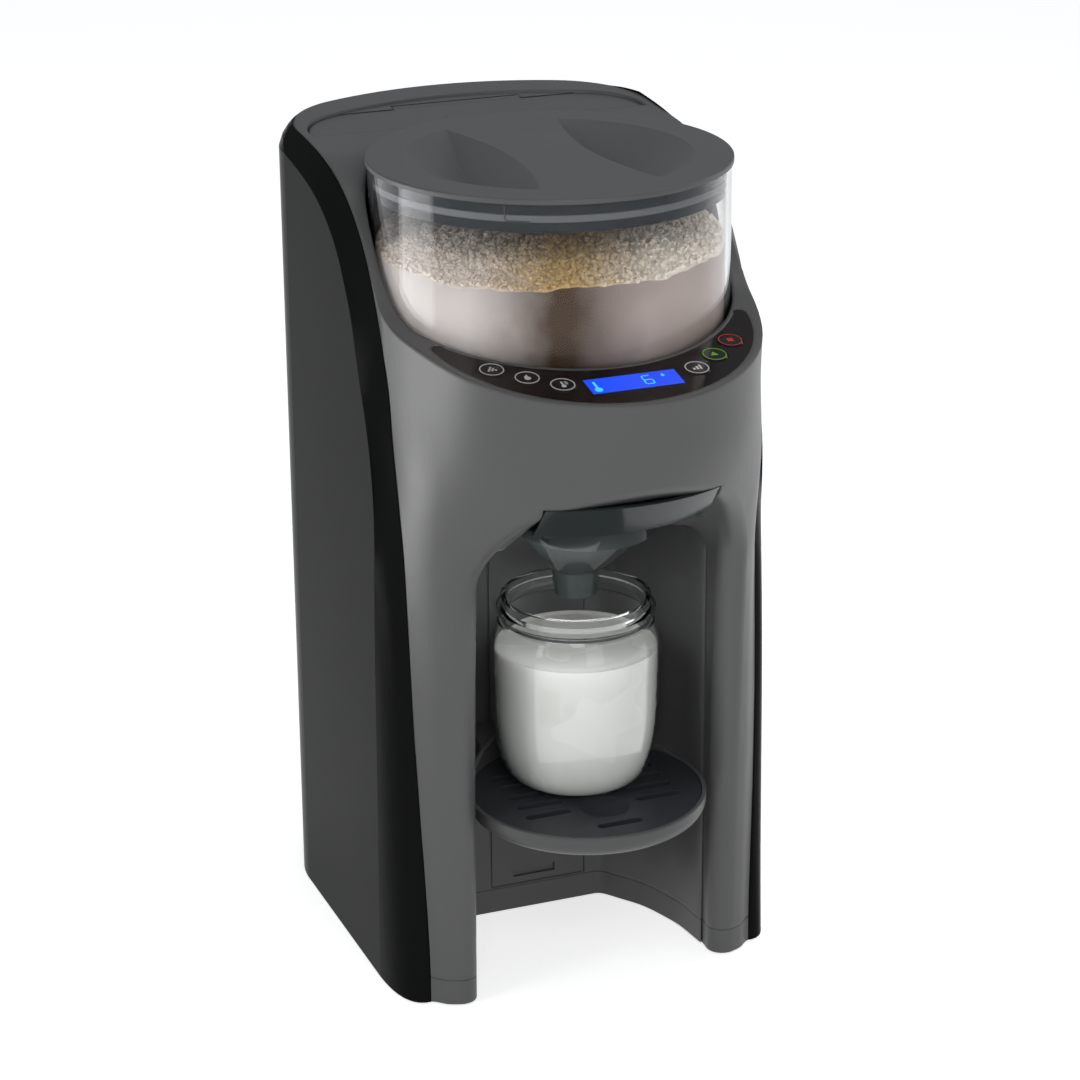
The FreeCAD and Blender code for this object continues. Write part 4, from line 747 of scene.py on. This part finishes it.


# ---- Lid -----------------------------------------------------------------------------
# A grey ABS cap with a grip bar between two finger hollows, welded to a smoked
# ring that plugs into the jar. A soft seal and a bayonet catch sit on the ring.
# Its edges are painted paler than the other mouldings': a painted highlight.
lid_finish = moulded("lid_grey", HOUSING_COLOUR, 0.42, softness=0.0006, painted_edge_light=1.5)
dress(lid_finish, "lid_cap")
dress(clear("ring_smoke", (0.022, 0.028, 0.033), (0.16, 0.19, 0.21), rough=0.12, film=0.08, transmission=0.30,
            index=1.16), "lid_skirt")
CATCH_RADIUS, CATCH_ANGLE, CATCH_STEM, CATCH_FOOT, CATCH_WIDTH = 0.07273, -35.5, 0.0058, 0.0100, 0.00085
CATCH_TOP = 0.3525
catch_line = bpy.data.curves.new("catch_line", "CURVE")
catch_line.dimensions = "3D"
catch_line.bevel_depth = CATCH_WIDTH / 2
catch_line.bevel_resolution = 3
catch_line.use_fill_caps = True
track = catch_line.splines.new("POLY")
corners = [(0, 0), (0, -0.4), (0, -0.8), (0.05, -0.95), (0.15, -1)]
corners += [(step / 10, -1) for step in range(2, 11)]
track.points.add(len(corners) - 1)
for point, (along, down) in zip(track.points, corners):
    turn = math.radians(CATCH_ANGLE) + along * CATCH_FOOT / CATCH_RADIUS
    point.co = (CATCH_RADIUS * math.sin(turn), HOPPER_Y - CATCH_RADIUS * math.cos(turn),
                CATCH_TOP + down * CATCH_STEM, 1)
drawn_catch = bpy.data.objects.new("catch_drawn", catch_line)
bpy.context.scene.collection.objects.link(drawn_catch)
bpy.context.view_layer.update()
catch = bpy.data.objects.new("lid_catch", bpy.data.meshes.new_from_object(drawn_catch.evaluated_get(
    bpy.context.evaluated_depsgraph_get())))
bpy.context.scene.collection.objects.link(catch)
bpy.data.objects.remove(drawn_catch)
catch.data.materials.clear()
catch.data.materials.append(moulded("catch_smoke", (0.035, 0.040, 0.043), 0.3, softness=0.0002))
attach(catch, "lid")


# ---- Funnel --------------------------------------------------------------------------
# Smoked co-polyester in one moulding: front flange, tray and spout. It slides in
# on rails of the guide, and its polished faces show a teal tint.
dress(clear("funnel_smoke", (0.082, 0.097, 0.097), (0.16, 0.19, 0.19), rough=0.09, film=0.10,
            transmission=0.55, index=1.23), "funnel")


# ---- Drip tray -----------------------------------------------------------------------
# A grey bowl on a bracket that hooks into the back panel, and a dark grid that
# lifts out: round-ended drain slots on both sides of the bottle and one in front,
# and a finger cup. The moulding is thin, and its rims carry a painted highlight.
dress(moulded("tray_grey", lighter(HOUSING_COLOUR, 0.88), 0.40, softness=0.0012), "tray_bowl", "tray_bracket")
grid_low, grid_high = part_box("tray_grid")
grid_middle = (grid_low + grid_high) / 2
GRID_SIDES, CUP_SIDES, SLOT_SIDES, BALL_SIDES = 192, 64, 24, 96
RIM_ROUNDING, TOOL_REACH, CUP_ROOT = 0.00035, 0.002, 0.0008
SLOT_LENGTH, SLOT_WIDTH, SLOT_SIDE, FRONT_SLOT = 0.0206, 0.0043, 0.0252, -0.0376
FIRST_ROW, ROW_STEP, ROW_COUNT = 0.0226, -0.0103, 5
CUP_Y, CUP_RADIUS, CUP_DEPTH, CUP_WALL = -0.0202, 0.0104, 0.0034, 0.0009


def upright(sides, radius, low, high, x=0.0, y=0.0, stretch=0.0):
    """A prism that stands in the grid's frame, its two halves drawn apart by a stretch."""
    bpy.ops.object.select_all(action="DESELECT")
    bpy.ops.mesh.primitive_cylinder_add(vertices=sides, radius=radius, depth=high - low)
    prism = bpy.context.object
    prism.data.transform(Euler((0, 0, math.pi / sides)).to_matrix().to_4x4())
    for point in prism.data.vertices:
        point.co.x += math.copysign(stretch / 2, point.co.x)
    prism.data.transform(Matrix.Translation((grid_middle.x + x, grid_middle.y + y, (low + high) / 2)))
    return prism


def carved(body, tool, operation):
    """Join a tool to a body or cut it out."""
    bpy.context.view_layer.objects.active = body
    reworked(body, "BOOLEAN", operation=operation, object=tool, solver="EXACT")
    bpy.data.objects.remove(tool)


grid = upright(GRID_SIDES, (grid_high.x - grid_low.x) / 2, grid_low.z, grid_high.z)
grid.name = "drain_grid"
cup = upright(CUP_SIDES, CUP_RADIUS + CUP_WALL, grid_high.z - CUP_DEPTH - CUP_WALL,
              grid_high.z - CUP_ROOT, y=CUP_Y)
carved(grid, cup, "UNION")
slot_places = [(side * SLOT_SIDE, FIRST_ROW + row * ROW_STEP)
               for row in range(ROW_COUNT) for side in (-1, 1)]
for x, y in slot_places + [(0, FRONT_SLOT)]:
    slot = upright(SLOT_SIDES, SLOT_WIDTH / 2, grid_low.z - TOOL_REACH, grid_high.z + TOOL_REACH,
                   x, y, SLOT_LENGTH - SLOT_WIDTH)
    carved(grid, slot, "DIFFERENCE")
ball_radius = (CUP_RADIUS ** 2 + CUP_DEPTH ** 2) / (2 * CUP_DEPTH)
bpy.ops.object.select_all(action="DESELECT")
bpy.ops.mesh.primitive_uv_sphere_add(segments=BALL_SIDES, ring_count=BALL_SIDES, radius=ball_radius)
ball = bpy.context.object
ball.data.transform(Matrix.Translation((grid_middle.x, grid_middle.y + CUP_Y,
                                        grid_high.z + ball_radius - CUP_DEPTH)))
carved(grid, ball, "DIFFERENCE")
bpy.context.view_layer.objects.active = grid
grid.select_set(True)
reworked(grid, "BEVEL", width=RIM_ROUNDING, segments=2, limit_method="ANGLE",
         angle_limit=math.radians(32))
bpy.ops.object.shade_smooth_by_angle(angle=math.radians(20))
# The rims of the slots and the cup are painted four times paler: a painted highlight.
grid.data.materials.append(moulded("grid_dark", (0.0310, 0.0345, 0.0385), 0.36, grain=1500.0, depth=0.000006,
                                   softness=0.00012, specular=0.22, painted_edge_light=4.0))
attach(grid, "tray")
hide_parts("tray_grid")


# ---- Bottle --------------------------------------------------------------------------
# A wide-necked bottle of clear polypropylene, blown in a polished mould, with a
# thick rounded rim and a bead round its neck.
# The bottle's edges take painted shade.
dress(clear("bottle_clear", (0.975, 0.985, 0.985), (0.93, 0.94, 0.94), rough=0.008, film=0.03, index=1.36,
            painted_edge_shade=0.6), "bottle")


# ---- Formula in the bottle -----------------------------------------------------------
# Prepared formula: an off-white milk with a slight meniscus at the wall, which
# scatters light below its surface.
milk, milk_tree, milk_shader = blank("milk")
milk_place = milk_tree.nodes.new("ShaderNodeTexCoord")
swirl = milk_tree.nodes.new("ShaderNodeTexNoise")
swirl.inputs["Scale"].default_value = 26.0
swirl.inputs["Detail"].default_value = 2.0
milk_tree.links.new(milk_place.outputs["Object"], swirl.inputs["Vector"])
milk_tree.links.new(blended(milk_tree, swirl.outputs["Fac"], (0.61, 0.61, 0.58), (0.65, 0.65, 0.62)),
                    milk_shader.inputs["Base Color"])
milk_tree.links.new(ranged(milk_tree, swirl.outputs["Fac"], 0.22, 0.34), milk_shader.inputs["Roughness"])
milk_shader.inputs["Subsurface Weight"].default_value = 0.35
milk_shader.inputs["Subsurface Radius"].default_value = (0.004, 0.0035, 0.003)
milk_shader.inputs["Subsurface Scale"].default_value = 1.0
dress(milk, "formula_fill")


# ---- Water tank, its lid and the base's fittings -------------------------------------
# A clear tank lifts out of the back. Its lid is a grey moulding flush with the
# top, hinged on a steel pin, and a grey cover lies on the tank's clear hinge strip.
dress(clear("tank_clear", (0.90, 0.94, 0.96), (0.80, 0.83, 0.85), rough=0.03, film=0.12), "water_tank")
tank_lid_finish = moulded("tank_lid_grey", HOUSING_COLOUR, 0.40, softness=0.0012)
dress(tank_lid_finish, "tank_lid")
COVER_THICKNESS, STRIP_RISE, NEARLY_UP, WELD = 0.0003, 0.002, 0.9, 0.00001
tank_mesh = frame["nodes"]["water_tank"].data
strip_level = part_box("tank_lid")[0].z + STRIP_RISE
strip_top = [tuple(face.vertices) for face in tank_mesh.polygons
             if face.center.z > strip_level and face.normal.z > NEARLY_UP]
used = sorted({corner for face in strip_top for corner in face})
renumbered = {corner: number for number, corner in enumerate(used)}
cover_mesh = bpy.data.meshes.new("hinge_cover")
cover_mesh.from_pydata([tank_mesh.vertices[corner].co for corner in used], [],
                       [[renumbered[corner] for corner in face] for face in strip_top])
cover = bpy.data.objects.new("hinge_cover", cover_mesh)
bpy.context.scene.collection.objects.link(cover)
bpy.ops.object.select_all(action="DESELECT")
bpy.context.view_layer.objects.active = cover
cover.select_set(True)
bpy.ops.object.mode_set(mode="EDIT")
bpy.ops.mesh.select_all(action="SELECT")
bpy.ops.mesh.remove_doubles(threshold=WELD)
bpy.ops.object.mode_set(mode="OBJECT")
reworked(cover, "SOLIDIFY", thickness=COVER_THICKNESS, offset=1.0)
cover.data.materials.append(tank_lid_finish)
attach(cover, "tank")
